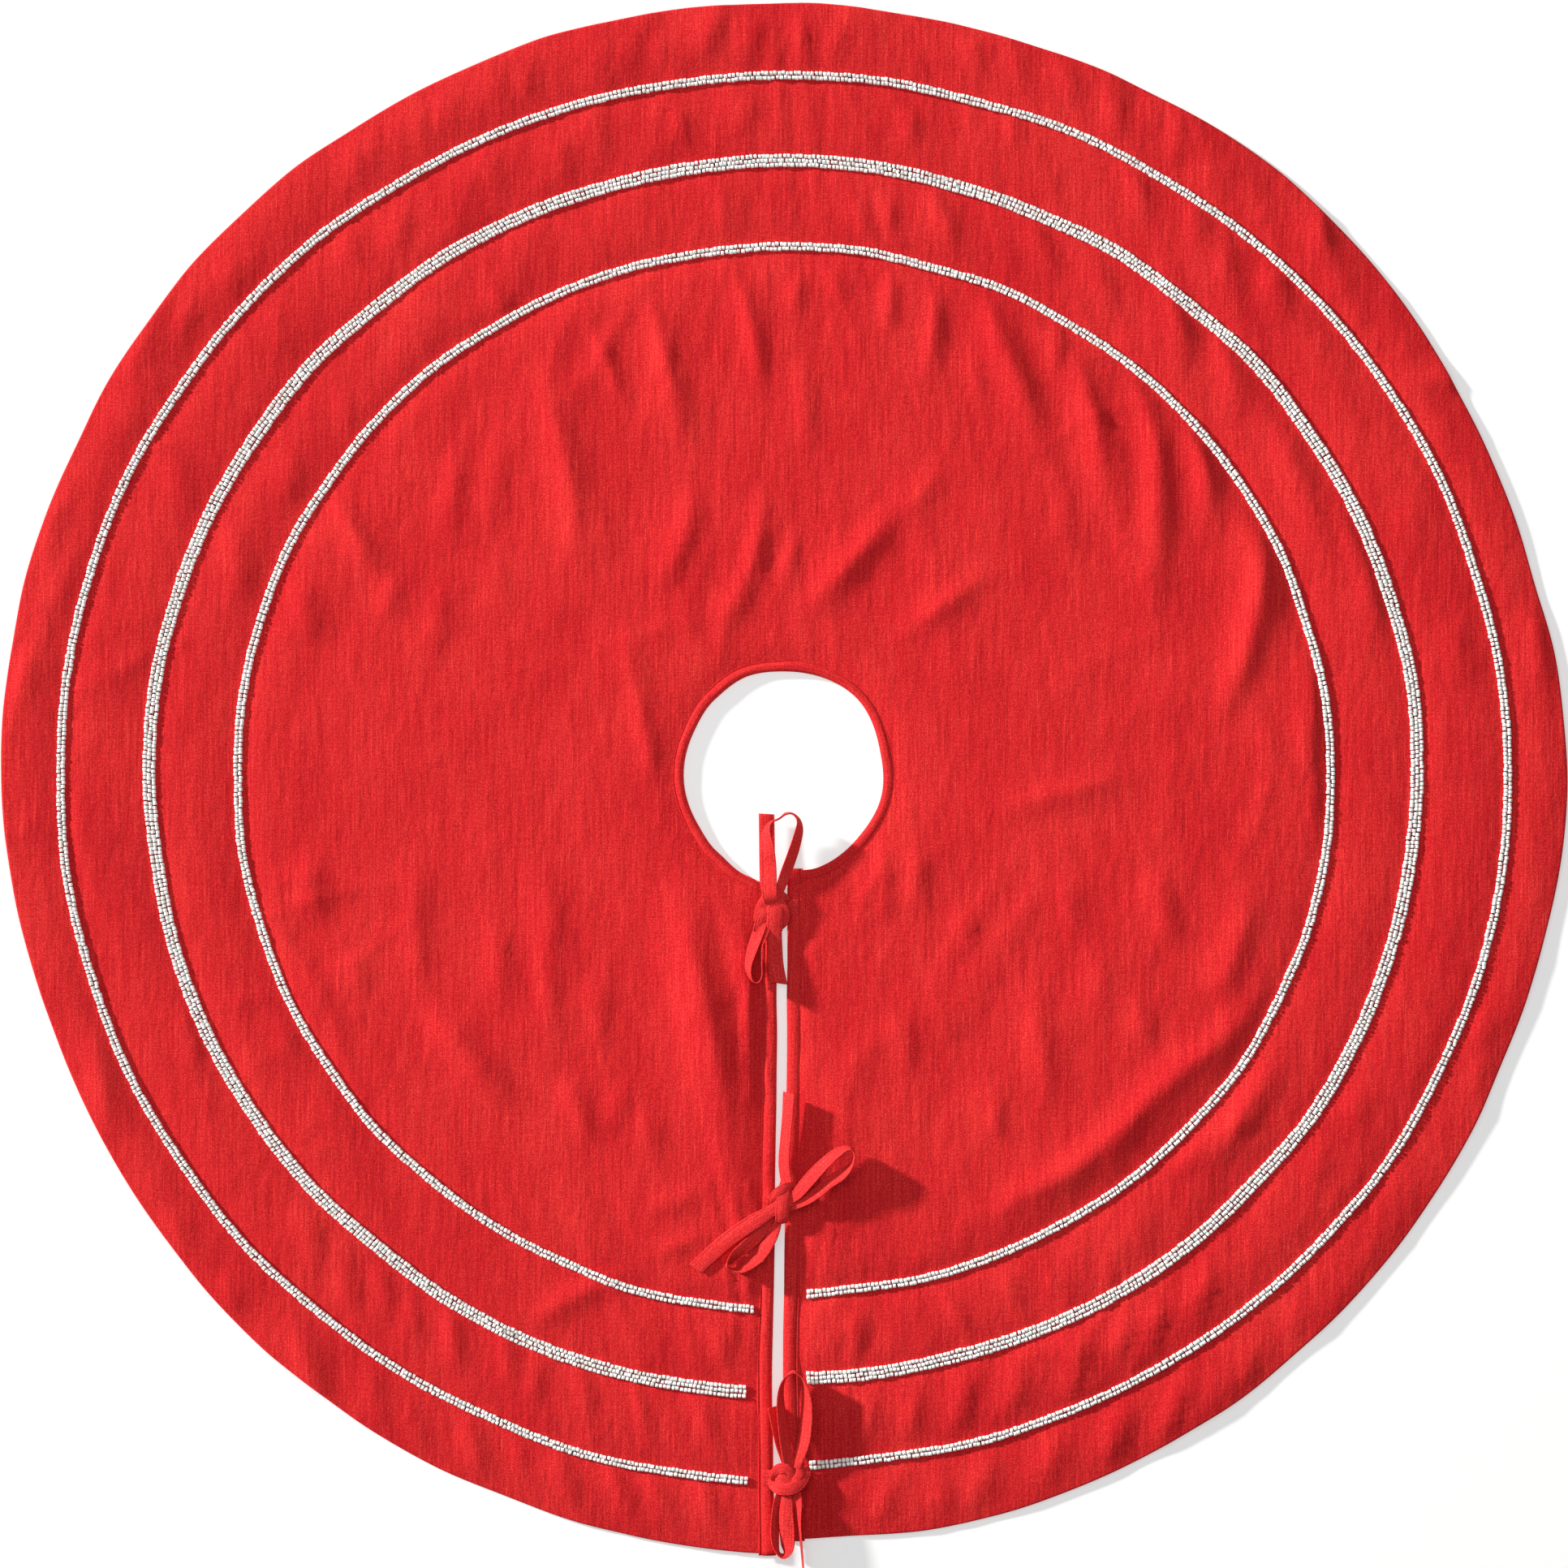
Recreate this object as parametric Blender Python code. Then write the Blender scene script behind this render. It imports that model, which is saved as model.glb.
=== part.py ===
"""Round tree skirt, slit from its hem to the trunk hole and closed by three bows of tape.

The skirt lies flat on the floor, z = 0. The trunk hole is centred on the Z axis and the slit runs from it
towards -Y. Lengths are in metres and angles in degrees, and an angle round the skirt is counted
anticlockwise from -Y.
"""

import math

import bmesh
import bpy
from mathutils import Vector

# Sizes of the skirt
SKIRT_DIAMETER = 1.270
HOLE_DIAMETER = 0.163
CLOTH = 0.0008
HEM_WIDTH = 0.012
SLIT_GAP = 0.008
SLIT_X = -0.0025
BINDING_WIDTH = 0.012
BINDING_OVERRUN = 0.001
CLEARANCE = 0.0003

# Stitching and beads
STITCH = 0.0004
STITCH_INSET = 0.0015
BEAD = 0.0030
BEAD_ROW_GAP = 0.0004
BEAD_THREAD = 0.0004
BAND_END_GAP = 0.005
BAND_OVAL = 0.017
BANDS = {
    "inner": {"from_hem": 0.199, "rows": 2},
    "middle": {"from_hem": 0.1295, "rows": 3},
    "outer": {"from_hem": 0.058, "rows": 2},
}

# Ties and bows
TIE_WIDTH = 0.0127
TIE_THICKNESS = 0.0010
LEAD_SEAM = 0.0015
BOW_RISE = 0.4
TOP_BOW_FROM_NECK = 0.0255
MIDDLE_BOW_FROM_TOP_BOW = 0.240
BOTTOM_BOW_FROM_HEM = 0.066

# Fineness of the facets
ROUND_STEPS = 72
BAND_STEPS = 48
BEAD_SIDES = 5
SPAN_STEPS = 3
KNOT_AROUND = 16
KNOT_RINGS = 8
KNOT_SQUARENESS = 0.75

# The bows are drawn in millimetres, for a tape of this width, from the middle of the knot.
DRAWN_TIE = 12.7

# Knots: how far the middle lies beside the slit's centre line, and the size along X and Y.
KNOTS = {
    "top": {"beside": -5.4, "size": (24, 32)},
    "middle": {"beside": 0.9, "size": (18, 30)},
    "bottom": {"beside": 7.4, "size": (30, 24)},
}

# Loops and tails: x, y, height above the knot's middle, roll in degrees, share of the tape's width.
# The tape is gathered at the knot, flat, and a rolled stretch stands on its edge.
WAYS = {
    "top": {
        "upper_tail": (
            (-3.9, 17.4, -1.0, 0, 0.7),
            (-4.6, 30.0, -3.0, 0, 1.0),
            (-5.3, 46.0, -5.0, 0, 1.0),
            (-5.9, 75.4, -5.0, 0, 1.0),
        ),
        "upper_loop": (
            (-4.5, 17.4, 1.0, 0, 0.4),
            (-3.8, 36.0, 1.5, 0, 1.0),
            (-4.9, 52.0, 2.4, 25, 1.0),
            (-5.6, 62.0, 2.6, 75, 1.0),
            (1.0, 70.1, 2.6, 90, 1.0),
            (10.9, 75.0, 2.4, 90, 1.0),
            (18.1, 72.1, 2.0, 85, 1.0),
            (21.0, 63.5, 2.0, 60, 1.0),
            (16.6, 48.0, 2.0, 40, 1.0),
            (10.9, 34.0, 1.5, 30, 1.0),
            (4.0, 17.4, 1.0, 0, 0.4),
        ),
        "lower_loop": (
            (-10.0, -15.8, 0.0, 0, 0.3),
            (-14.5, -26.0, 0.6, -40, 0.8),
            (-19.5, -38.0, 1.0, -65, 1.0),
            (-20.5, -49.0, 1.0, -75, 1.0),
            (-17.5, -57.8, 1.0, -88, 1.0),
            (-12.8, -60.0, 1.0, -90, 1.0),
            (-10.4, -54.5, 1.0, -88, 1.0),
            (-11.6, -42.0, 1.0, -80, 1.0),
            (-12.2, -29.0, 0.6, -75, 0.9),
            (-6.6, -17.4, 0.0, 0, 0.3),
        ),
        "lower_tail": (
            (0.2, -17.4, 0.0, 0, 0.7),
            (0.4, -28.0, -1.5, 0, 1.0),
            (1.5, -46.0, -4.6, 0, 1.0),
            (4.3, -61.5, -5.0, 0, 1.0),
        ),
    },
    "middle": {
        "right_loop": (
            (12.0, 4.6, 0.0, 0, 0.35),
            (21.5, 18.0, 0.8, 40, 1.0),
            (34.5, 33.0, 1.0, 55, 1.0),
            (47.4, 42.0, 1.0, 75, 1.0),
            (56.0, 40.4, 1.0, 90, 1.0),
            (54.8, 31.0, 1.0, 80, 1.0),
            (44.1, 19.8, 1.0, 65, 1.0),
            (31.0, 11.6, 1.0, 55, 1.0),
            (19.5, 3.8, 0.6, 35, 0.8),
            (11.2, -2.2, 0.0, 0, 0.35),
        ),
        "upper_tail": (
            (4.2, 16.6, 0.0, 0, 0.5),
            (2.4, 34.0, -1.6, 30, 1.0),
            (2.3, 54.0, -1.8, 30, 1.0),
            (5.2, 90.3, -1.8, 30, 1.0),
        ),
        "left_tail": (
            (-13.2, -7.4, 1.6, 0, 0.7),
            (-21.8, -13.0, 2.0, 0, 1.0),
            (-41.5, -26.3, -1.0, 0, 1.0),
            (-69.8, -52.6, -5.0, 0, 1.0),
        ),
        "left_loop": (
            (-3.0, -16.6, -1.0, 0, 0.3),
            (-10.4, -28.0, 0.0, 40, 0.9),
            (-20.5, -41.5, 0.8, 60, 1.0),
            (-31.6, -50.0, 1.0, 75, 1.0),
            (-42.8, -50.2, 1.0, 90, 1.0),
            (-41.8, -43.6, 1.0, 75, 1.0),
            (-30.6, -34.6, -1.0, 40, 1.0),
            (-17.6, -23.4, -3.4, 12, 0.8),
            (-9.2, -12.8, -1.6, 0, 0.3),
        ),
    },
    "bottom": {
        "upper_loop": (
            (-1.0, 13.2, 1.0, 0, 0.35),
            (-3.3, 32.3, 1.5, 45, 1.0),
            (-6.5, 55.3, 1.5, 55, 1.0),
            (-5.2, 76.4, 1.5, 70, 1.0),
            (2.7, 86.3, 1.5, 90, 1.0),
            (11.2, 78.4, 1.5, 70, 1.0),
            (14.5, 55.3, 1.5, 55, 1.0),
            (13.9, 32.3, 1.5, 45, 1.0),
            (5.4, 13.2, 1.0, 0, 0.35),
        ),
        "upper_tail": (
            (-5.4, 12.9, -1.2, 0, 0.4),
            (-9.5, 32.3, -0.6, 45, 1.0),
            (-13.0, 57.3, -0.4, 50, 1.0),
        ),
        "lower_loop": (
            (-9.6, -12.6, 0.0, 0, 0.3),
            (-13.6, -28.3, 1.0, -60, 1.0),
            (-13.6, -46.7, 1.0, -75, 1.0),
            (-10.2, -60.2, 1.0, -85, 1.0),
            (-4.6, -63.0, 1.0, -90, 1.0),
            (-0.6, -50.0, 1.0, -50, 1.0),
            (-2.6, -30.2, 0.6, -30, 1.0),
            (-4.4, -13.4, 0.0, 0, 0.35),
        ),
        "lower_tail": (
            (6.2, -13.4, 0.0, 0, 0.45),
            (6.8, -33.5, 1.0, 80, 1.0),
            (9.3, -53.3, 1.0, 90, 1.0),
            (11.2, -73.7, 1.0, 90, 1.0),
        ),
    },
}

# Pieces that cross each other in a bow lift together, on the hinge of the first.
LIFTS_WITH = {
    ("top", "upper_tail"): "upper_loop",
    ("top", "lower_tail"): "lower_loop",
    ("middle", "left_tail"): "left_loop",
    ("bottom", "upper_tail"): "upper_loop",
}

# Heights of the layers, from the floor up
SKIRT_RADIUS = SKIRT_DIAMETER / 2
HOLE_RADIUS = HOLE_DIAMETER / 2
LAYER = CLOTH + CLEARANCE
LINING_Z = LAYER
COVER_Z = 2 * LAYER
COVER_TOP = COVER_Z + CLOTH
BINDING_Z = 3 * LAYER
BINDING_TOP = BINDING_Z + CLOTH
STITCH_Z = BINDING_TOP + CLEARANCE
LEAD_Z = STITCH_Z + STITCH + CLEARANCE
LEAD_TOP = LEAD_Z + TIE_THICKNESS
BEAD_THREAD_Z = COVER_TOP + CLEARANCE
BEAD_Z = BEAD_THREAD_Z + BEAD_THREAD + CLEARANCE
BOW_CLEAR_Z = max(BEAD_Z + BEAD, LEAD_TOP) + CLEARANCE
BOW_Z = BOW_CLEAR_Z + TIE_THICKNESS / 2 + BOW_RISE * TIE_WIDTH
KNOT_HALF_HEIGHT = BOW_Z - LEAD_TOP - CLEARANCE
BOW_SCALE = TIE_WIDTH / DRAWN_TIE

# Edges at the slit, measured from its centre line
SLIT_EDGE = SLIT_GAP / 2
CLOTH_EDGE = SLIT_EDGE + LAYER
BINDING_EDGE = SLIT_EDGE + BINDING_WIDTH

CLOTH_RED = (0.61, 0.013, 0.021)
TAPE_RED = (0.64, 0.016, 0.024)
LINING_RED = (0.42, 0.010, 0.016)
BEAD_WHITE = (0.86, 0.86, 0.82)
THREAD_DARK = (0.012, 0.012, 0.014)


def material(name, colour, roughness):
    made = bpy.data.materials.new(name)
    made.use_nodes = True
    shader = made.node_tree.nodes["Principled BSDF"]
    shader.inputs["Base Color"].default_value = (*colour, 1.0)
    shader.inputs["Roughness"].default_value = roughness
    shader.inputs["Metallic"].default_value = 0.0
    return made


def placed(name, mesh, colour, roughness, origin=Vector()):
    """An object from a bmesh in world space, with its own origin there and its own material."""
    bmesh.ops.recalc_face_normals(mesh, faces=mesh.faces)
    bmesh.ops.translate(mesh, verts=mesh.verts, vec=-origin)
    data = bpy.data.meshes.new(name)
    mesh.to_mesh(data)
    mesh.free()
    data.materials.append(material(name, colour, roughness))
    data.shade_smooth()
    data.set_sharp_from_angle(angle=math.radians(35))
    made = bpy.data.objects.new(name, data)
    made.location = origin
    bpy.context.collection.objects.link(made)
    return made


def skin(rings, closed):
    """A bmesh skinned over rings of points, capped at its ends unless it closes on itself."""
    mesh = bmesh.new()
    rows = [[mesh.verts.new(point) for point in ring] for ring in rings]
    spans = list(zip(rows, rows[1:] + rows[:1]))
    if not closed:
        spans.pop()
        mesh.faces.new(rows[0])
        mesh.faces.new(rows[-1])
    for near, far in spans:
        for i in range(len(near)):
            j = (i + 1) % len(near)
            mesh.faces.new((near[i], near[j], far[j], far[i]))
    return mesh


def round_the_skirt(angle, radius, z):
    return Vector((radius * math.sin(angle), -radius * math.cos(angle), z))


def turned(profile, steps):
    """A bmesh turned from a closed profile of (radius, z) points."""
    angles = [2 * math.pi * i / steps for i in range(steps)]
    return skin([[round_the_skirt(a, r, z) for r, z in profile] for a in angles], closed=True)


def clasp(fold, reach):
    """The closed U of a binding's section, from its fold towards reach, as (along, z) points."""
    inner = fold + math.copysign(CLOTH, reach - fold)
    return [
        (fold, 0),
        (reach, 0),
        (reach, CLOTH),
        (inner, CLOTH),
        (inner, BINDING_Z),
        (reach, BINDING_Z),
        (reach, BINDING_TOP),
        (fold, BINDING_TOP),
    ]


def slit_cutter(name, half_width, low, high):
    """A hidden box along the slit, from inside the trunk hole to past the hem."""
    length = SKIRT_DIAMETER
    mesh = bmesh.new()
    bmesh.ops.create_cube(mesh, size=1)
    bmesh.ops.scale(mesh, verts=mesh.verts, vec=(2 * half_width, length, high - low))
    box = placed(name, mesh, THREAD_DARK, 1.0)
    box.location = (SLIT_X, -length / 2, (low + high) / 2)
    box.hide_render = True
    box.display_type = "WIRE"
    return box


def cut(target, cutter):
    modifier = target.modifiers.new(cutter.name, "BOOLEAN")
    modifier.operation = "DIFFERENCE"
    modifier.object = cutter


def make_cloth():
    """The cover with its hem turned under, and the lining that lies inside that turning."""
    inner = HOLE_RADIUS + LAYER
    hem = SKIRT_RADIUS - HEM_WIDTH
    rim = SKIRT_RADIUS - CLOTH
    cover_profile = [
        (inner, COVER_Z),
        (rim, COVER_Z),
        (rim, CLOTH),
        (hem, CLOTH),
        (hem, 0),
        (SKIRT_RADIUS, 0),
        (SKIRT_RADIUS, COVER_TOP),
        (inner, COVER_TOP),
    ]
    lining_edge = rim - CLEARANCE
    lining_profile = [
        (inner, LINING_Z),
        (lining_edge, LINING_Z),
        (lining_edge, LINING_Z + CLOTH),
        (inner, LINING_Z + CLOTH),
    ]
    through = slit_cutter("slit_through_cloth", CLOTH_EDGE, -COVER_TOP, 2 * COVER_TOP)
    beside = slit_cutter("slit_through_hem", BINDING_EDGE + CLEARANCE, -COVER_TOP, LINING_Z)
    cover = placed("top_cover", turned(cover_profile, ROUND_STEPS), CLOTH_RED, 0.9)
    lining = placed("lining", turned(lining_profile, ROUND_STEPS), LINING_RED, 0.95)
    cut(cover, through)
    cut(cover, beside)
    cut(lining, through)


def make_neck():
    """The binding round the trunk hole and its stitching, both stopping at the slit's bindings."""
    beside = slit_cutter("slit_through_neck", BINDING_EDGE + CLEARANCE, -BINDING_TOP, 2 * STITCH_Z)
    reach = HOLE_RADIUS + BINDING_WIDTH
    binding = placed("neck_binding", turned(clasp(HOLE_RADIUS, reach), ROUND_STEPS), TAPE_RED, 0.9)
    line = reach - STITCH_INSET
    thread_profile = [
        (line, STITCH_Z),
        (line, STITCH_Z + STITCH),
        (line - STITCH, STITCH_Z + STITCH),
        (line - STITCH, STITCH_Z),
    ]
    thread = placed("neck_stitching", turned(thread_profile, ROUND_STEPS), TAPE_RED, 0.6)
    cut(binding, beside)
    cut(thread, beside)


def make_slit_side(side, sign):
    """One side's binding and its stitching, run from just inside the trunk hole to the hem."""
    top = -(HOLE_RADIUS - BINDING_OVERRUN)
    bottom = -SKIRT_RADIUS
    ends = (top, bottom)

    def along_slit(section):
        return skin([[(SLIT_X + sign * x, y, z) for x, z in section] for y in ends], closed=False)

    placed(f"{side}_slit_binding", along_slit(clasp(SLIT_EDGE, BINDING_EDGE)), TAPE_RED, 0.9)
    line = BINDING_EDGE - STITCH_INSET
    section = [
        (line, STITCH_Z),
        (line, STITCH_Z + STITCH),
        (line - STITCH, STITCH_Z + STITCH),
        (line - STITCH, STITCH_Z),
    ]
    placed(f"{side}_slit_stitching", along_slit(section), TAPE_RED, 0.6)


def band_angles(radius):
    """Angles from the slit's right binding round to its left one, each end held clear of them."""
    clear = BINDING_EDGE + BAND_END_GAP
    start = math.asin((clear + SLIT_X) / radius)
    stop = 2 * math.pi - math.asin((clear - SLIT_X) / radius)
    return [start + (stop - start) * i / BAND_STEPS for i in range(BAND_STEPS + 1)]


def laid_round(radius, section, angles):
    """A bmesh that carries a section of (outwards, z) points round the skirt on the bands' oval."""
    rings = []
    for angle in angles:
        out = radius * (1 - BAND_OVAL * math.cos(2 * angle))
        rings.append([round_the_skirt(angle, out + along, z) for along, z in section])
    return skin(rings, closed=False)


def make_band(name, from_hem, rows):
    """A band of beads: the thread that couches it, and its rows side by side."""
    radius = SKIRT_RADIUS - from_hem
    angles = band_angles(radius * (1 - BAND_OVAL))
    pitch = BEAD + BEAD_ROW_GAP
    half = rows * pitch / 2
    bed = [
        (-half, BEAD_THREAD_Z),
        (half, BEAD_THREAD_Z),
        (half, BEAD_THREAD_Z + BEAD_THREAD),
        (-half, BEAD_THREAD_Z + BEAD_THREAD),
    ]
    placed(f"{name}_band_thread", laid_round(radius, bed, angles), THREAD_DARK, 0.7)
    centre_z = BEAD_Z + BEAD / 2
    turns = [2 * math.pi * (i + 0.25) / BEAD_SIDES for i in range(BEAD_SIDES)]
    for row in range(rows):
        offset = (row - (rows - 1) / 2) * pitch
        section = [
            (offset + BEAD / 2 * math.cos(turn), centre_z + BEAD / 2 * math.sin(turn)) for turn in turns
        ]
        placed(f"{name}_bead_row_{row + 1}", laid_round(radius, section, angles), BEAD_WHITE, 0.15)


def smooth_way(points):
    """Catmull-Rom points through the given ones, every value of a point running smoothly."""
    ends = [points[0], *points, points[-1]]
    way = []
    for before, here, there, after in zip(ends, ends[1:], ends[2:], ends[3:]):
        for step in range(SPAN_STEPS):
            t = step / SPAN_STEPS
            way.append(
                [
                    0.5 * (2 * b + (c - a) * t + (2 * a - 5 * b + 4 * c - d) * t**2)
                    + 0.5 * (3 * b - a - 3 * c + d) * t**3
                    for a, b, c, d in zip(before, here, there, after)
                ]
            )
    way.append(list(points[-1]))
    return way


def hinge_of(knot, points):
    """The middle of a tape's upper face where it leaves the knot."""
    return knot + BOW_SCALE * Vector(points[0][:3]) + Vector((0, 0, TIE_THICKNESS / 2))


def tape(name, knot, points, hinge):
    """A length of tape along its drawn way from the knot, with its origin on its hinge."""
    way = smooth_way(points)
    spots = [knot + BOW_SCALE * Vector(point[:3]) for point in way]
    rings = []
    for i, (spot, point) in enumerate(zip(spots, way)):
        ahead = (spots[min(i + 1, len(spots) - 1)] - spots[max(i - 1, 0)]).normalized()
        side = Vector((0, 0, 1)).cross(ahead).normalized()
        up = ahead.cross(side)
        roll = math.radians(point[3])
        across = (side * math.cos(roll) + up * math.sin(roll)) * TIE_WIDTH * point[4] / 2
        through = ahead.cross(across).normalized() * TIE_THICKNESS / 2
        rings.append(
            [spot + across + through, spot - across + through, spot - across - through, spot + across - through]
        )
    placed(name, skin(rings, closed=False), TAPE_RED, 0.9, hinge)


def rounded(value):
    return math.copysign(abs(value) ** KNOT_SQUARENESS, value)


def make_knot(name, middle, size):
    """A knot as a squarish pebble."""
    half_x, half_y = (BOW_SCALE * side / 2 for side in size)
    mesh = bmesh.new()
    bmesh.ops.create_uvsphere(mesh, u_segments=KNOT_AROUND, v_segments=KNOT_RINGS, radius=1)
    for vert in mesh.verts:
        across, along, height = (rounded(value) for value in vert.co)
        vert.co = middle + Vector((across * half_x, along * half_y, height * KNOT_HALF_HEIGHT))
    placed(name, mesh, TAPE_RED, 0.9, middle)


def make_lead(name, sign, y):
    """The tape between a binding, where it is sewn down, and the underside of the knot."""
    start = SLIT_X + sign * (BINDING_EDGE - LEAD_SEAM)
    stop = SLIT_X + sign * CLEARANCE / 2
    section = [
        (y - TIE_WIDTH / 2, LEAD_Z),
        (y + TIE_WIDTH / 2, LEAD_Z),
        (y + TIE_WIDTH / 2, LEAD_TOP),
        (y - TIE_WIDTH / 2, LEAD_TOP),
    ]
    placed(name, skin([[(x, *point) for point in section] for x in (start, stop)], closed=False), TAPE_RED, 0.9)


def make_bow(name, y):
    knot = KNOTS[name]
    middle = Vector((SLIT_X + BOW_SCALE * knot["beside"], y, BOW_Z))
    make_knot(f"{name}_bow_knot", middle, knot["size"])
    make_lead(f"{name}_bow_left_lead", -1, y)
    make_lead(f"{name}_bow_right_lead", 1, y)
    for piece, points in WAYS[name].items():
        leader = LIFTS_WITH.get((name, piece), piece)
        tape(f"{name}_bow_{piece}", middle, points, hinge_of(middle, WAYS[name][leader]))


def make_skirt():
    for old in list(bpy.data.objects):
        bpy.data.objects.remove(old)
    make_cloth()
    make_neck()
    make_slit_side("left", -1)
    make_slit_side("right", 1)
    for name, band in BANDS.items():
        make_band(name, band["from_hem"], band["rows"])
    top = -(HOLE_RADIUS + TOP_BOW_FROM_NECK)
    bottom = -(SKIRT_RADIUS - BOTTOM_BOW_FROM_HEM)
    make_bow("top", top)
    make_bow("middle", top - MIDDLE_BOW_FROM_TOP_BOW)
    make_bow("bottom", bottom)


make_skirt()
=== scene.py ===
import math

import bmesh
import bpy
import numpy as np
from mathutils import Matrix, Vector


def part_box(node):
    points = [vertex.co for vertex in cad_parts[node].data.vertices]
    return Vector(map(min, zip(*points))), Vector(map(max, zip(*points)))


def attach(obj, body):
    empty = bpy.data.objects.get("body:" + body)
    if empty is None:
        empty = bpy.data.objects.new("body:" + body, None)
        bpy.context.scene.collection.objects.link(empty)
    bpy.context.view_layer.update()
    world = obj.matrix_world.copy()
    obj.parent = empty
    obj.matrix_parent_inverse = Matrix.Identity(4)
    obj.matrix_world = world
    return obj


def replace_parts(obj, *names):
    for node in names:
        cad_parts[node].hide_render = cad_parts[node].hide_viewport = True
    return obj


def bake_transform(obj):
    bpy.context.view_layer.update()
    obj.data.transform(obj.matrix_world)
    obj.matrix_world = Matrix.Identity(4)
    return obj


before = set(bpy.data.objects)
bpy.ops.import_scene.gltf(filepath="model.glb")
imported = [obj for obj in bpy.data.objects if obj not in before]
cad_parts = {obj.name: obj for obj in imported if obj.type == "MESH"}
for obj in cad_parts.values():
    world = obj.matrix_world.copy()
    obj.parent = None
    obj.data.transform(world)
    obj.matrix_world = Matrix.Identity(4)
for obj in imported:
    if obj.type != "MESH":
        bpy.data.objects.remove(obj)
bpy.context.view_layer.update()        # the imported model: bodies, nodes, joints and the record

MM = 0.001
TURN = 2 * math.pi

# ---------------------------------------------------------------- sizes from the frame

COVER_LOW, COVER_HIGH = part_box("top_cover")
LINING_LOW, LINING_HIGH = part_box("lining")
NECK_LOW, NECK_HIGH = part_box("neck_binding")
LEFT_LOW, LEFT_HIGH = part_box("left_slit_binding")
RIGHT_LOW, RIGHT_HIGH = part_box("right_slit_binding")
CLOTH = LINING_HIGH.z - LINING_LOW.z
LAYER_GAP = LINING_LOW.z - CLOTH
COVER_TOP = COVER_HIGH.z
BINDING_WIDTH = LEFT_HIGH.x - LEFT_LOW.x
NECK_RADIUS = (NECK_HIGH.x - NECK_LOW.x) / 2 - BINDING_WIDTH
SLIT_X = (LEFT_HIGH.x + RIGHT_LOW.x) / 2
SLIT_HALF = (RIGHT_LOW.x - LEFT_HIGH.x) / 2
TUCKED = CLOTH + LAYER_GAP
HEM_TURN = 11 * MM
BEAD_ROWS = {"inner": 2, "middle": 3, "outer": 2}
BEAD_SPACING = 3.3 * MM
BEAD_LENGTH = 2.85 * MM
BEAD_WIDTH = 3.55 * MM
ROW_SPACING = 3.55 * MM
BOWS = ("top", "middle", "bottom")
BOW_Z = (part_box("top_bow_knot")[0].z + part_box("top_bow_knot")[1].z) / 2
TIE_WIDTH = 12.7 * MM
TIE_THICKNESS = 1.15 * MM

# The hem as it lies: (degrees round from the slit, radius in mm), right of the slit to left of it.
HEM_STATIONS = (
    (0, 619), (20, 625.7), (45, 626.7), (70, 628.3), (90, 635), (110, 628), (135, 633), (165, 624.6),
    (180, 626.3), (200, 628.5), (235, 633.4), (270, 635), (290, 627.1), (315, 627.3), (340, 627.3),
    (360, 632),
)
# The trunk hole's edge as it lies: (degrees round from the slit, radius in mm), sagging to its left.
HOLE_STATIONS = (
    (0, 76.5), (8, 78.2), (20, 79.8), (50, 78.7), (80, 81), (100, 80.4), (140, 86), (180, 84), (200, 85.2),
    (222, 82.8), (245, 80.7), (270, 81), (300, 80.1), (320, 82.2), (340, 86.7), (350, 89), (360, 90),
)
# The middle line of the slit: (distance from the centre, offset from the frame's slit) in mm.
SLIT_STATIONS = ((70, 1.2), (220, 1.1), (350, -0.5), (490, -2.4), (560, -1.6), (640, 0.6))
SLIT_WIDTHS = ((70, 0.6), (220, 0.2), (350, -0.3), (490, 0.9), (640, 0.0))

# How much the folds below are raised, evened out and narrowed together.
FOLD_RISE, FOLD_EVENNESS, FOLD_WIDTH = 2.5, 0.74, 0.8
FOLD_FLATNESS = 1.6          # above 1 a fold is rounder at its crest and drops faster beside it
FOLD_FADE = 0.42             # the share of its length over which a fold fades out at each end
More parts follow.
